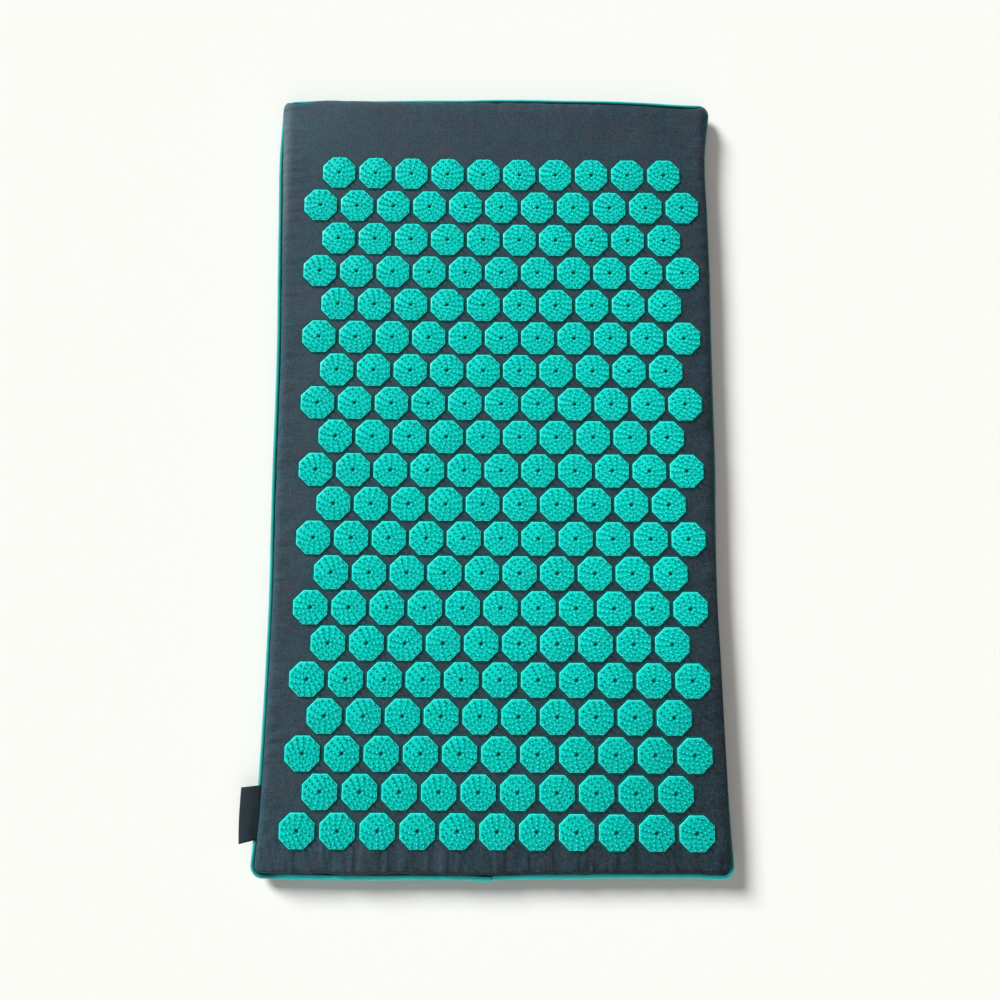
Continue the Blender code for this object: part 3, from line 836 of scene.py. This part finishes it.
def pucker(side, share, from_rim):
    """Small gathers that run in from the seam and die out."""
    travel = seam_travel(side, share)
    strength = 1.0 if side == 3 else SIDE_PUCKERS
    fade = smooth_step(from_rim / PUCKER_RISE) * (1 - smooth_step(from_rim / PUCKER_REACH))
    slant = from_rim * PUCKER_SLANT
    wide = Vector(((travel + slant) / PUCKER_WIDTH, from_rim / (PUCKER_REACH * 1.4), 3.7))
    fine = Vector(((travel - slant) / (PUCKER_WIDTH * 0.5), from_rim / PUCKER_REACH, 9.1))
    patch = 0.5 + noise.noise(Vector((travel / (PUCKER_WIDTH * 6), 0, 5.3)))
    wave = max(0.0, noise.noise(wide) + 0.35 * noise.noise(fine) + 0.1)
    return -PUCKER_DEPTH * strength * (0.4 + 0.6 * smooth_step(patch)) * fade * wave


def spread(x, y):
    """How far a disc lies off its even place: the rows open a little towards the mat's corners."""
    across = (x - FIELD_MIDDLE[0]) / FIELD_REACH[0]
    along = (y - FIELD_MIDDLE[1]) / FIELD_REACH[1]
    shifts = []
    for terms in (SPREAD_ACROSS, SPREAD_ALONG):
        shifts.append(sum(weight * across**power_x * along**power_y for weight, power_x, power_y in terms))
    return Vector(shifts) * MM


def disc_centres():
    """The middle of every disc, by row."""
    centres = []
    for name in ROW_NAMES:
        low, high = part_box(name)
        count = round((high[0] - low[0] - ROW_BOX_WIDTH) / DISC_SPACE) + 1
        middle = (low[0] + high[0]) / 2
        y = (low[1] + high[1]) / 2
        row = []
        for place in range(count):
            x = middle + (place - (count - 1) / 2) * DISC_SPACE
            row.append(Vector((x, y)) + spread(x, y))
        centres.append(row)
    return centres


CENTRES = disc_centres()


def disc_distance(x, y):
    """Distance to the middle of the nearest disc."""
    pitch = CENTRES[0][0].y - CENTRES[1][0].y
    nearest = round((CENTRES[0][0].y - y) / pitch)
    best = 1.0
    for row in (nearest - 1, nearest, nearest + 1):
        if 0 <= row < len(CENTRES):
            first = CENTRES[row][0]
            place = min(max(round((x - first.x) / DISC_SPACE), 0), len(CENTRES[row]) - 1)
            centre = CENTRES[row][place]
            best = min(best, math.hypot(x - centre.x, y - centre.y))
    return best


COVER_COLUMNS = 2 * (SHOULDER_CELLS + round((HALF_WIDTH - COVER_INSET - SHOULDER_RUN) / COVER_CELL))
COVER_CELL_X = (HALF_WIDTH - COVER_INSET - SHOULDER_RUN) / (COVER_COLUMNS / 2 - SHOULDER_CELLS)
COVER_ROWS = 2 * (SHOULDER_CELLS + round((HALF_LENGTH - COVER_INSET - SHOULDER_RUN) / COVER_CELL))


def top_profile(side, share, ring):
    """Inset and height of the cover's top for a ring."""
    edge = outline_point(side, share, 0)
    rim = seam_height(edge) + RIM_LIFT
    turn = min(ring / SHOULDER_CELLS, 1.0) * math.pi / 2
    flat = smooth_step(ring / SHOULDER_CELLS / FLAT_FROM)
    run = by_corner(SHOULDERS[side], share) * MM
    inset = by_corner(RIMS[side], share) * MM + run * (1 - math.cos(turn))
    inset += (COVER_INSET + SHOULDER_RUN - inset) * flat
    inset -= by_corner(BULGES[side], share) * MM * math.sin(2 * turn)
    height = rim + (COVER_TOP - rim) * math.sin(turn)
    if ring > SHOULDER_CELLS:
        inset += (ring - SHOULDER_CELLS) * COVER_CELL_X
    return inset, height


def cover_top(material):
    """Top of the cover: flat under the discs, gathered and rounded towards the seam."""
    bm = bmesh.new()
    bmesh.ops.create_grid(bm, x_segments=COVER_COLUMNS, y_segments=COVER_ROWS, size=1)
    for vert in bm.verts:
        side, share, ring = grid_place(vert.co.x, vert.co.y, COVER_COLUMNS, COVER_ROWS)
        inset, height = top_profile(side, share, ring)
        point = outline_point(side, share, inset)
        point = point + wander(point.x, point.y)
        turn = min(ring / SHOULDER_CELLS, 1.0) * math.pi / 2
        from_rim = (inset - COVER_INSET) + SHOULDER_RUN * math.sin(turn) * SHOULDER_SHARE
        room = disc_distance(point.x, point.y) - DISC_CLEAR
        puff = smooth_step(room / PILLOW_ROOM) * smooth_step(ring / SHOULDER_CELLS)
        lift = pucker(side, share, from_rim) * smooth_step(room / PUCKER_ROOM)
        point = point + SIDES[side][0] * (lift * math.cos(turn))
        vert.co = Vector((point.x, point.y, height + lift * math.sin(turn) + PILLOW_HEIGHT * puff))
    piece = finish_mesh(bm, "cover_top_cloth", [material], 60)
    thicken(piece, FABRIC)
    return body_for(piece, ["cover_top"])


def base_profile(side, share, ring, cell):
    """Inset and height of the base for a ring: an upright wall, a small foot, then flat."""
    rim = seam_height(outline_point(side, share, 0)) - RIM_LIFT
    if ring <= WALL_CELLS:
        return BASE_INSET, rim + (FOOT_RADIUS - rim) * ring / WALL_CELLS
    turn = min((ring - WALL_CELLS) / FOOT_CELLS, 1.0) * math.pi / 2
    inset = BASE_INSET + FOOT_RADIUS * (1 - math.cos(turn))
    if ring > WALL_CELLS + FOOT_CELLS:
        inset += (ring - WALL_CELLS - FOOT_CELLS) * cell
    return inset, FOOT_RADIUS * (1 - math.sin(turn))


def wall_wander(x, y, height):
    """How far the wall under the seam lies off the straight: less and less towards its foot."""
    share = (height - WANDER_FOOT) / (SEAM_HEIGHT - RIM_LIFT - WANDER_FOOT)
    return wander(x, y) * min(max(share, 0.0), 1.0)


def cover_base(material):
    """Base of the cover, with the zip's window cut in its end wall."""
    edge_cells = WALL_CELLS + FOOT_CELLS
    flat = HALF_WIDTH - BASE_INSET - FOOT_RADIUS
    columns = 2 * (edge_cells + round(flat / BASE_CELL))
    cell = flat / (columns / 2 - edge_cells)
    rows = 2 * (edge_cells + round((HALF_LENGTH - BASE_INSET - FOOT_RADIUS) / BASE_CELL))
    bm = bmesh.new()
    bmesh.ops.create_grid(bm, x_segments=columns, y_segments=rows, size=1)
    for vert in bm.verts:
        side, share, ring = grid_place(vert.co.x, vert.co.y, columns, rows)
        inset, height = base_profile(side, share, ring, cell)
        point = outline_point(side, share, inset)
        point = point + wall_wander(point.x, point.y, height)
        vert.co = Vector((point.x, point.y, height))
    bmesh.ops.reverse_faces(bm, faces=bm.faces)
    shell = finish_mesh(bm, "base_shell", [])
    thicken(shell, FABRIC)
    middle = Vector((0, BASE_BOX[0][1], (WINDOW_LOW + WINDOW_HIGH) / 2))
    size = Vector((2 * WINDOW_HALF_LENGTH, 8 * FABRIC, WINDOW_HIGH - WINDOW_LOW))
    bm = bmesh.new()
    bmesh.ops.create_cube(bm, size=1, matrix=Matrix.LocRotScale(middle, None, size))
    mesh = cut_away(shell, finish_mesh(bm, "window_cutter", []))
    piece = place_mesh(mesh, "cover_base_cloth", [material], 60)
    return body_for(piece, ["cover_base"])


def piping_shares():
    """The side and share of every point of the line that the cord follows, from the join."""
    shares = [(side, -1 + 2 * step / CORD_STEPS) for side in range(4) for step in range(CORD_STEPS)]
    start = 3 * CORD_STEPS + CORD_STEPS // 2
    return shares[start:] + shares[:start]


def piping_points():
    """Points along the cord's middle, from the join at the middle of the disc end."""
    points = []
    for side, share in piping_shares():
        spot = outline_point(side, share, PIPING_RADIUS)
        spot = spot + wander(spot.x, spot.y)
        height = seam_height(outline_point(side, share, 0))
        points.append(Vector((spot.x, spot.y, height)))
    return points


def cord_places():
    """For each point of the cord: its middle, its outward direction, its radius and its travel."""
    points = piping_points()
    shares = piping_shares()
    count = len(points)
    points.append(points[0].copy())
    shares.append(shares[0])
    places = []
    travel = 0.0
    for index, point in enumerate(points):
        before = points[max(index - 1, 0)]
        after = points[min(index + 1, count)]
        along = (after - before).normalized()
        out = Vector((along.y, -along.x, 0)).normalized()
        side, share = shares[index]
        radius = PIPING_RADIUS * (1 + by_corner(CORD_GROWTH[side], share))
        radius *= 1 + CORD_UNEVEN * noise.noise(Vector((travel / (9 * MM), 0, 1.3)))
        middle = point - out * (radius - PIPING_RADIUS)
        middle += out * JOIN_STEP * smooth_step(1 - (count - index) / JOIN_RUN)
        if index == 0:
            middle += along * JOIN_GAP
        if index == count:
            middle -= along * JOIN_GAP
        if index in (0, count):
            radius *= CORD_END_SHARE
        places.append((middle, out, radius, travel))
        travel += (after - point).length
    return places


def roll_tube(bm, places, profile):
    """A tube rolled from a grid: it follows the places, and its section is the profile."""
    sides = len(profile)
    last = len(places) - 1
    made = bmesh.ops.create_grid(bm, x_segments=last, y_segments=sides, size=1, calc_uvs=True)
    uv = bm.loops.layers.uv.verify()
    around = 2 * math.pi * PIPING_RADIUS
    for vert in made["verts"]:
        middle, out, radius, _ = places[round((vert.co.x + 1) / 2 * last)]
        reach, lift = profile[round((vert.co.y + 1) / 2 * sides) % sides]
        vert.co = middle + (out * reach + Vector((0, 0, lift))) * radius
    for face in faces_of(made["verts"]):
        for loop in face.loops:
            spot = loop[uv].uv
            loop[uv].uv = (places[round(spot.x * last)][3], spot.y * around)
    bmesh.ops.remove_doubles(bm, verts=made["verts"], dist=0.001 * MM)


def piping(material, shade):
    """The corded binding round the seam, its ends butted at the middle of the disc end."""
    turns = [2 * math.pi * side / CORD_SIDES for side in range(CORD_SIDES)]
    section = [(math.cos(turn), math.sin(turn)) for turn in turns]
    bm = bmesh.new()
    bm.loops.layers.uv.new("UVMap")
    places = cord_places()
    for steps, profile in ((places, section), (places[::8] + places[-1:], TONGUE)):
        roll_tube(bm, steps, profile)
        bmesh.ops.holes_fill(bm, edges=[edge for edge in bm.edges if edge.is_boundary], sides=0)
    bmesh.ops.recalc_face_normals(bm, faces=bm.faces)
    join = Matrix.Translation(piping_points()[0]) @ Matrix.Rotation(math.pi / 2, 4, "Y")
    # A plug that closes the gap between the cord's ends, coloured as painted shade
    plug_radius = PIPING_RADIUS * PLUG_SHARE
    for face in faces_of(add_cone(bm, CORD_SIDES, plug_radius, plug_radius, 8 * JOIN_GAP, join)):
        face.material_index = 1
    piece = finish_mesh(bm, "piping_cord", [material, shade], 50)
    return body_for(piece, ["piping"])


def foam_core(material):
    """The foam slab inside the cover."""
    low, high = corners_of("foam_core")
    bm = rounded_block((low + high) / 2, high - low - FOAM_ROOM, FOAM_EDGE, 5)
    long_edges = [edge for edge in bm.edges if edge.calc_length() > 0.1]
    bmesh.ops.subdivide_edges(bm, edges=long_edges, cuts=FOAM_CUTS, use_grid_fill=True)
    for vert in bm.verts:
        shift = wander(vert.co.x, vert.co.y)
        vert.co += Vector((shift.x, shift.y if vert.co.y > 0 else 0, 0))
    piece = finish_mesh(bm, "foam_slab", [material], 50)
    return body_for(piece, ["foam_core"])


# Label


def side_label(material):
    """A ribbon folded in half, which comes out of the seam over the piping."""
    low, high = corners_of("side_label")
    low += Vector((-LABEL_REACH, LABEL_SHIFT, 0))
    high += Vector((0, LABEL_SHIFT, 0))
    edge = outline_point(2, (low.y + high.y) / -2 / HALF_LENGTH, 0)
    cord = Vector((edge.x + wander(edge.x, edge.y).x + PIPING_RADIUS, SEAM_HEIGHT))
    upper, lower = (ribbon_path(cord, gap, low + Vector((0, 0, lift))) for gap, lift in LABEL_LAYERS)
    fold = Vector((low.x + LABEL_FOLD[1], (upper[-1].y + lower[-1].y) / 2))
    path = upper + [fold] + lower[::-1]
    last = len(path) - 1
    bm = bmesh.new()
    bm.loops.layers.uv.new("UVMap")
    bmesh.ops.create_grid(bm, x_segments=last, y_segments=16, size=1, calc_uvs=True)
    for vert in bm.verts:
        spot = path[round((vert.co.x + 1) / 2 * last)]
        share = (vert.co.y + 1) / 2
        out = min(max((cord.x - spot.x) / (cord.x - low.x), 0.0), 1.0)
        y = low.y + (high.y - low.y) * share - LABEL_LEAN * out + LABEL_SPLAY * (share - 0.5) * out
        sway = LABEL_SWAY * out * math.sin(share * 5.1 + 0.8)
        bow = LABEL_BOW * out * math.sin(math.pi * share)
        vert.co = (spot.x - bow, y, spot.y + sway)
    bmesh.ops.recalc_face_normals(bm, faces=bm.faces)
    piece = finish_mesh(bm, "label_ribbon_fold", [material], 70)
    thicken(piece, LABEL_CLOTH, 0.0)
    return body_for(piece, ["side_label"])


def ribbon_path(cord, gap, low):
    """One layer of the ribbon from the seam over the piping, seen from the end as x and z."""
    radius = PIPING_RADIUS + gap
    path = [Vector((cord.x + radius * 0.92, cord.y + LABEL_TUCK))]
    first, last = LABEL_WRAP
    for step in range(7):
        turn = math.radians(first + (last - first) * step / 6)
        path.append(cord + Vector((math.cos(turn), math.sin(turn))) * radius)
    start = path[-1]
    end = Vector((low.x + LABEL_FOLD[0], low.z + LABEL_LIFT))
    for step in range(1, 6):
        share = step / 5
        path.append(start.lerp(end, share) + Vector((0, LABEL_SAG * math.sin(share * math.pi))))
    return path


# Zip


def zip_tape(name, material):
    """One woven tape of the zip, with its edges rounded."""
    low, high = corners_of(name)
    bm = rounded_block((low + high) / 2, high - low, TAPE_EDGE, 2)
    return body_for(finish_mesh(bm, name + "_woven", [material], 40), [name])


def coil_turn(reach, lean):
    """The mesh of one turn of nylon wire, which leans along the coil."""
    bm = bmesh.new()
    bmesh.ops.create_circle(bm, segments=5, radius=TOOTH_WIRE)
    for axis in "YZ":
        quarter = Matrix.Rotation(math.pi / 2, 3, axis)
        bmesh.ops.rotate(bm, verts=bm.verts, cent=(0, 0, 0), matrix=quarter)
    bmesh.ops.translate(bm, verts=bm.verts, vec=(0, 0, 1 * MM - TOOTH_WIRE))
    bmesh.ops.spin(
        bm,
        geom=bm.verts[:] + bm.edges[:],
        cent=(0, 0, 0),
        axis=(1, 0, 0),
        angle=2 * math.pi,
        steps=9,
        use_merge=True,
    )
    bmesh.ops.scale(bm, verts=bm.verts, vec=(1, reach.y / MM, reach.z / MM))
    bmesh.ops.rotate(bm, verts=bm.verts, cent=(0, 0, 0), matrix=Matrix.Rotation(math.radians(lean), 3, "Z"))
    bmesh.ops.recalc_face_normals(bm, faces=bm.faces)
    return mesh_of(bm, "coil_turn")


def zip_coil(name, material, lean):
    """One side of the zip's coil: turns of nylon wire side by side."""
    low, high = corners_of(name)
    middle = (low + high) / 2
    turn = coil_turn((high - low) / 2, lean)
    count = int((high.x - low.x - 2 * TOOTH_WIRE) / TOOTH_PITCH)
    bm = bmesh.new()
    for place in range(count):
        x = middle.x + (place - (count - 1) / 2) * TOOTH_PITCH
        add_copy(bm, turn, Matrix.Translation((x, middle.y, middle.z)))
    return body_for(finish_mesh(bm, name + "_turns", [material], 60), [name])


def eased_copy(name, material, body):
    """A packed metal piece again, with its edges rounded."""
    bm = bmesh.new()
    bm.from_mesh(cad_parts[name].data)
    bmesh.ops.remove_doubles(bm, verts=bm.verts, dist=0.001 * MM)
    bmesh.ops.dissolve_limit(bm, angle_limit=math.radians(2), verts=bm.verts, edges=bm.edges)
    sharp = [edge for edge in bm.edges if len(edge.link_faces) == 2 and edge.calc_face_angle(0) > 0.6]
    round_edges(bm, sharp, METAL_EDGE, 2, clamp=True)
    return body_for(finish_mesh(bm, name + "_eased", [material], 40), [name], body)


def zip_stitches(material):
    """Two rows of stitches that hold the zip in the end wall."""
    bm = rounded_block(Vector((0, 0, 0)), Vector((1, 1, 1)), 0.3, 1)
    bmesh.ops.scale(bm, verts=bm.verts, vec=(STITCH_LENGTH, STITCH_WIDTH, STITCH_WIDTH))
    stitch = mesh_of(bm, "stitch")
    bm = bmesh.new()
    count = int(2 * (WINDOW_HALF_LENGTH + 4 * MM) / STITCH_PITCH)
    for height in STITCH_HEIGHTS:
        for place in range(count + 1):
            x = (place - count / 2) * STITCH_PITCH
            wall = outline_point(3, x / HALF_WIDTH, BASE_INSET).y
            wall += wall_wander(x, wall, height).y
            add_copy(bm, stitch, Matrix.Translation((x, wall, height)))
    return body_for(finish_mesh(bm, "zip_stitches", [material], 60))


# Discs


def disc_template():
    """The mesh of one disc about the origin, standing on z = 0: plate, rim, a dark ring of painted shade
    round its foot, and spikes.
    """
    corner = 1 / math.cos(math.pi / DISC_SIDES)
    turn = Matrix.Rotation(math.pi / DISC_SIDES, 4, "Z")
    bm = bmesh.new()
    radius = DISC_WIDTH / 2 * corner
    bmesh.ops.create_circle(bm, cap_ends=True, segments=DISC_SIDES, radius=radius, matrix=turn)
    grown = bmesh.ops.extrude_face_region(bm, geom=bm.faces[:])
    top = [part for part in grown["geom"] if isinstance(part, bmesh.types.BMVert)]
    bmesh.ops.translate(bm, verts=top, vec=(0, 0, DISC_PLATE))
    rim = [edge for edge in bm.edges if all(vert in top for vert in edge.verts)]
    # The rounded top edge takes the painted highlight
    round_edges(bm, rim, DISC_BEVEL, 2, material=1)
    bmesh.ops.recalc_face_normals(bm, faces=bm.faces)
    plate = finish_mesh(bm, "disc_plate", [])
    mesh = cut_away(plate, disc_holes())
    bm = bmesh.new()
    bm.from_mesh(mesh)
    add_spikes(bm)
    # A flat ring round the plate that carries the painted shade
    low = (DISC_WIDTH / 2 + SHADE_RING_WIDTH) * corner
    high = (DISC_WIDTH / 2 + SHADE_RING_WIDTH * 0.85) * corner
    for face in faces_of(add_cone(bm, DISC_SIDES, low, high, 2 * SHADE_RING_LIFT, turn)):
        face.material_index = 2
    bm.to_mesh(mesh)
    bm.free()
    return mesh


def disc_holes():
    """The cutter for a disc's hole in the middle and its four pin holes."""
    bm = bmesh.new()
    depth = 6 * DISC_PLATE
    add_cone(bm, 10, CENTRE_HOLE_RADIUS, CENTRE_HOLE_RADIUS, depth, Matrix())
    for quarter in range(4):
        angle = math.pi / DISC_SIDES + quarter * math.pi / 2
        spot = Vector((math.cos(angle), math.sin(angle), 0)) * PIN_HOLE_PLACE
        add_cone(bm, 6, PIN_HOLE_RADIUS, PIN_HOLE_RADIUS, depth, Matrix.Translation(spot))
    return finish_mesh(bm, "disc_holes", [])


def face_height(face):
    """Height of a face's middle."""
    return face.calc_center_median().z


def add_spikes(bm):
    """The rings of spikes on a disc's plate."""
    waist = SPIKE_HEIGHT * SPIKE_WAIST_SHARE
    for ring, (count, radius) in enumerate(SPIKE_RINGS):
        for place in range(count):
            angle = 2 * math.pi * (place + 0.5 * (ring % 2)) / count
            foot = Vector((math.cos(angle) * radius, math.sin(angle) * radius, DISC_PLATE - SPIKE_SUNK))
            middle = Matrix.Translation(foot + Vector((0, 0, waist / 2)))
            turn = Matrix.Rotation(angle, 4, "Z")
            verts = add_cone(bm, SPIKE_SIDES, SPIKE_FOOT, SPIKE_WAIST, waist, middle @ turn)
            top = max(faces_of(verts), key=face_height)
            grown = bmesh.ops.extrude_discrete_faces(bm, faces=[top])["faces"][0]
            tip = foot + Vector((0, 0, SPIKE_HEIGHT + SPIKE_SUNK))
            for vert in grown.verts:
                off_middle = Vector((vert.co.x - foot.x, vert.co.y - foot.y, 0))
                vert.co = tip + off_middle * (SPIKE_TIP / SPIKE_WAIST)


def disc_row(name, row, template, materials, dice):
    """One row of discs, each turned its own way."""
    low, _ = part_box(name)
    bm = bmesh.new()
    for centre in CENTRES[row]:
        turn = Matrix.Rotation(dice.randrange(DISC_SIDES) * 2 * math.pi / DISC_SIDES, 4, "Z")
        tilt = Matrix.Rotation(math.radians(dice.uniform(-DISC_TILT, DISC_TILT)), 4, "X")
        add_copy(bm, template, Matrix.Translation((centre.x, centre.y, low[2])) @ tilt @ turn)
    piece = finish_mesh(bm, name.replace("disc_row", "spike_discs"), materials, 35)
    return body_for(piece, [name])


def disc_rows(materials):
    """All the rows."""
    dice = random.Random(SEED)
    template = disc_template()
    return [disc_row(name, row, template, materials, dice) for row, name in enumerate(ROW_NAMES)]


# Studio

LAMPS = (
    ("key", Vector((-1.09, 1.05, 1.0)), 20, 0.73, (0.973, 1.0, 1.0)),
    ("front", Vector((0.1, -1.0, 0.95)), 64, 0.15, (1.07, 1.0, 1.0)),
)
FILL = 0.12
FILL_TINT = (1.07, 1.0, 1.0)
PALE = srgb(252, 252, 247)
FLOOR_SIZE = 6
FLOOR_GAP = 0.3 * MM
CAMERA_PLACE = (-0.0008, -0.21225, 1.05056)
CAMERA_TURN = (9.88, -0.384, 0.313)
CAMERA_LENS = 40.25


def set_camera():
    """The camera above the mat, a little towards its disc end."""
    data = bpy.data.cameras.new("camera")
    data.lens = CAMERA_LENS
    data.sensor_width = 36
    data.clip_start = 0.01
    camera = bpy.data.objects.new("camera", data)
    bpy.context.collection.objects.link(camera)
    camera.location = CAMERA_PLACE
    camera.rotation_euler = [math.radians(turn) for turn in CAMERA_TURN]
    bpy.context.scene.camera = camera


def set_light():
    """A soft lamp from the upper left, a broad weak one from the front, and an even fill."""
    for name, place, angle, level, tint in LAMPS:
        data = bpy.data.lights.new(name, "SUN")
        data.color = tint
        data.angle = math.radians(angle)
        data.energy = level * math.pi * place.length / place.z
        lamp = bpy.data.objects.new(name, data)
        bpy.context.collection.objects.link(lamp)
        lamp.location = place
        lamp.rotation_euler = place.to_track_quat("Z", "Y").to_euler()
    world = bpy.data.worlds.new("studio")
    world.use_nodes = True
    bpy.context.scene.world = world
    shade = world.node_tree.nodes["Background"]
    set_inputs(shade, {"Color": (*FILL_TINT, 1), "Strength": FILL})
    show_background(world.node_tree, shade)


def show_background(tree, shade):
    """Shows the sky as pale as the floor to the camera, and to gloss and glass."""
    path = node(tree, "ShaderNodeLightPath")
    seen = math_node(tree, "MAXIMUM", path.outputs["Is Camera Ray"], path.outputs["Is Transmission Ray"])
    seen = math_node(tree, "MAXIMUM", seen, path.outputs["Is Glossy Ray"])
    level = math_node(tree, "MULTIPLY", seen, 1 - FILL)
    tree.links.new(math_node(tree, "ADD", level, FILL), shade.inputs["Strength"])
    tree.links.new(mix_colour(tree, seen, FILL_TINT, PALE), shade.inputs["Color"])


def set_floor():
    """The pale floor."""
    bm = bmesh.new()
    bmesh.ops.create_grid(bm, x_segments=1, y_segments=1, size=FLOOR_SIZE)
    bmesh.ops.translate(bm, verts=bm.verts, vec=(0, 0, BASE_BOX[0][2] - FLOOR_GAP))
    material, _, _ = new_material("floor", PALE, 0.9, specular=0.0)
    finish_mesh(bm, "floor", [material])


def main():
    """Dresses the mat."""
    set_camera()
    set_light()
    set_floor()
    cotton = cover_cotton()
    cover_top(cotton)
    cover_base(cotton)
    piping(piping_cotton(), join_shade())
    foam_core(foam_material())
    side_label(label_ribbon())
    ribbon = zip_ribbon()
    nylon = zip_nylon()
    metal = zip_metal()
    for name, lean in (("zip_coil_upper", 14), ("zip_coil_lower", -14)):
        zip_coil(name, nylon, lean)
    for name in ("zip_tape_upper", "zip_tape_lower"):
        zip_tape(name, ribbon)
    bodies = {"zip_stop_left": "mat", "zip_stop_right": "mat", "zip_slider": "slider", "zip_pull": "pull"}
    for name, body in bodies.items():
        eased_copy(name, metal, body)
    zip_stitches(thread_material())
    disc_rows([disc_plastic(), painted_highlight_rim(), painted_shade_ring()])
    bpy.context.scene.view_settings.view_transform = "Standard"


main()
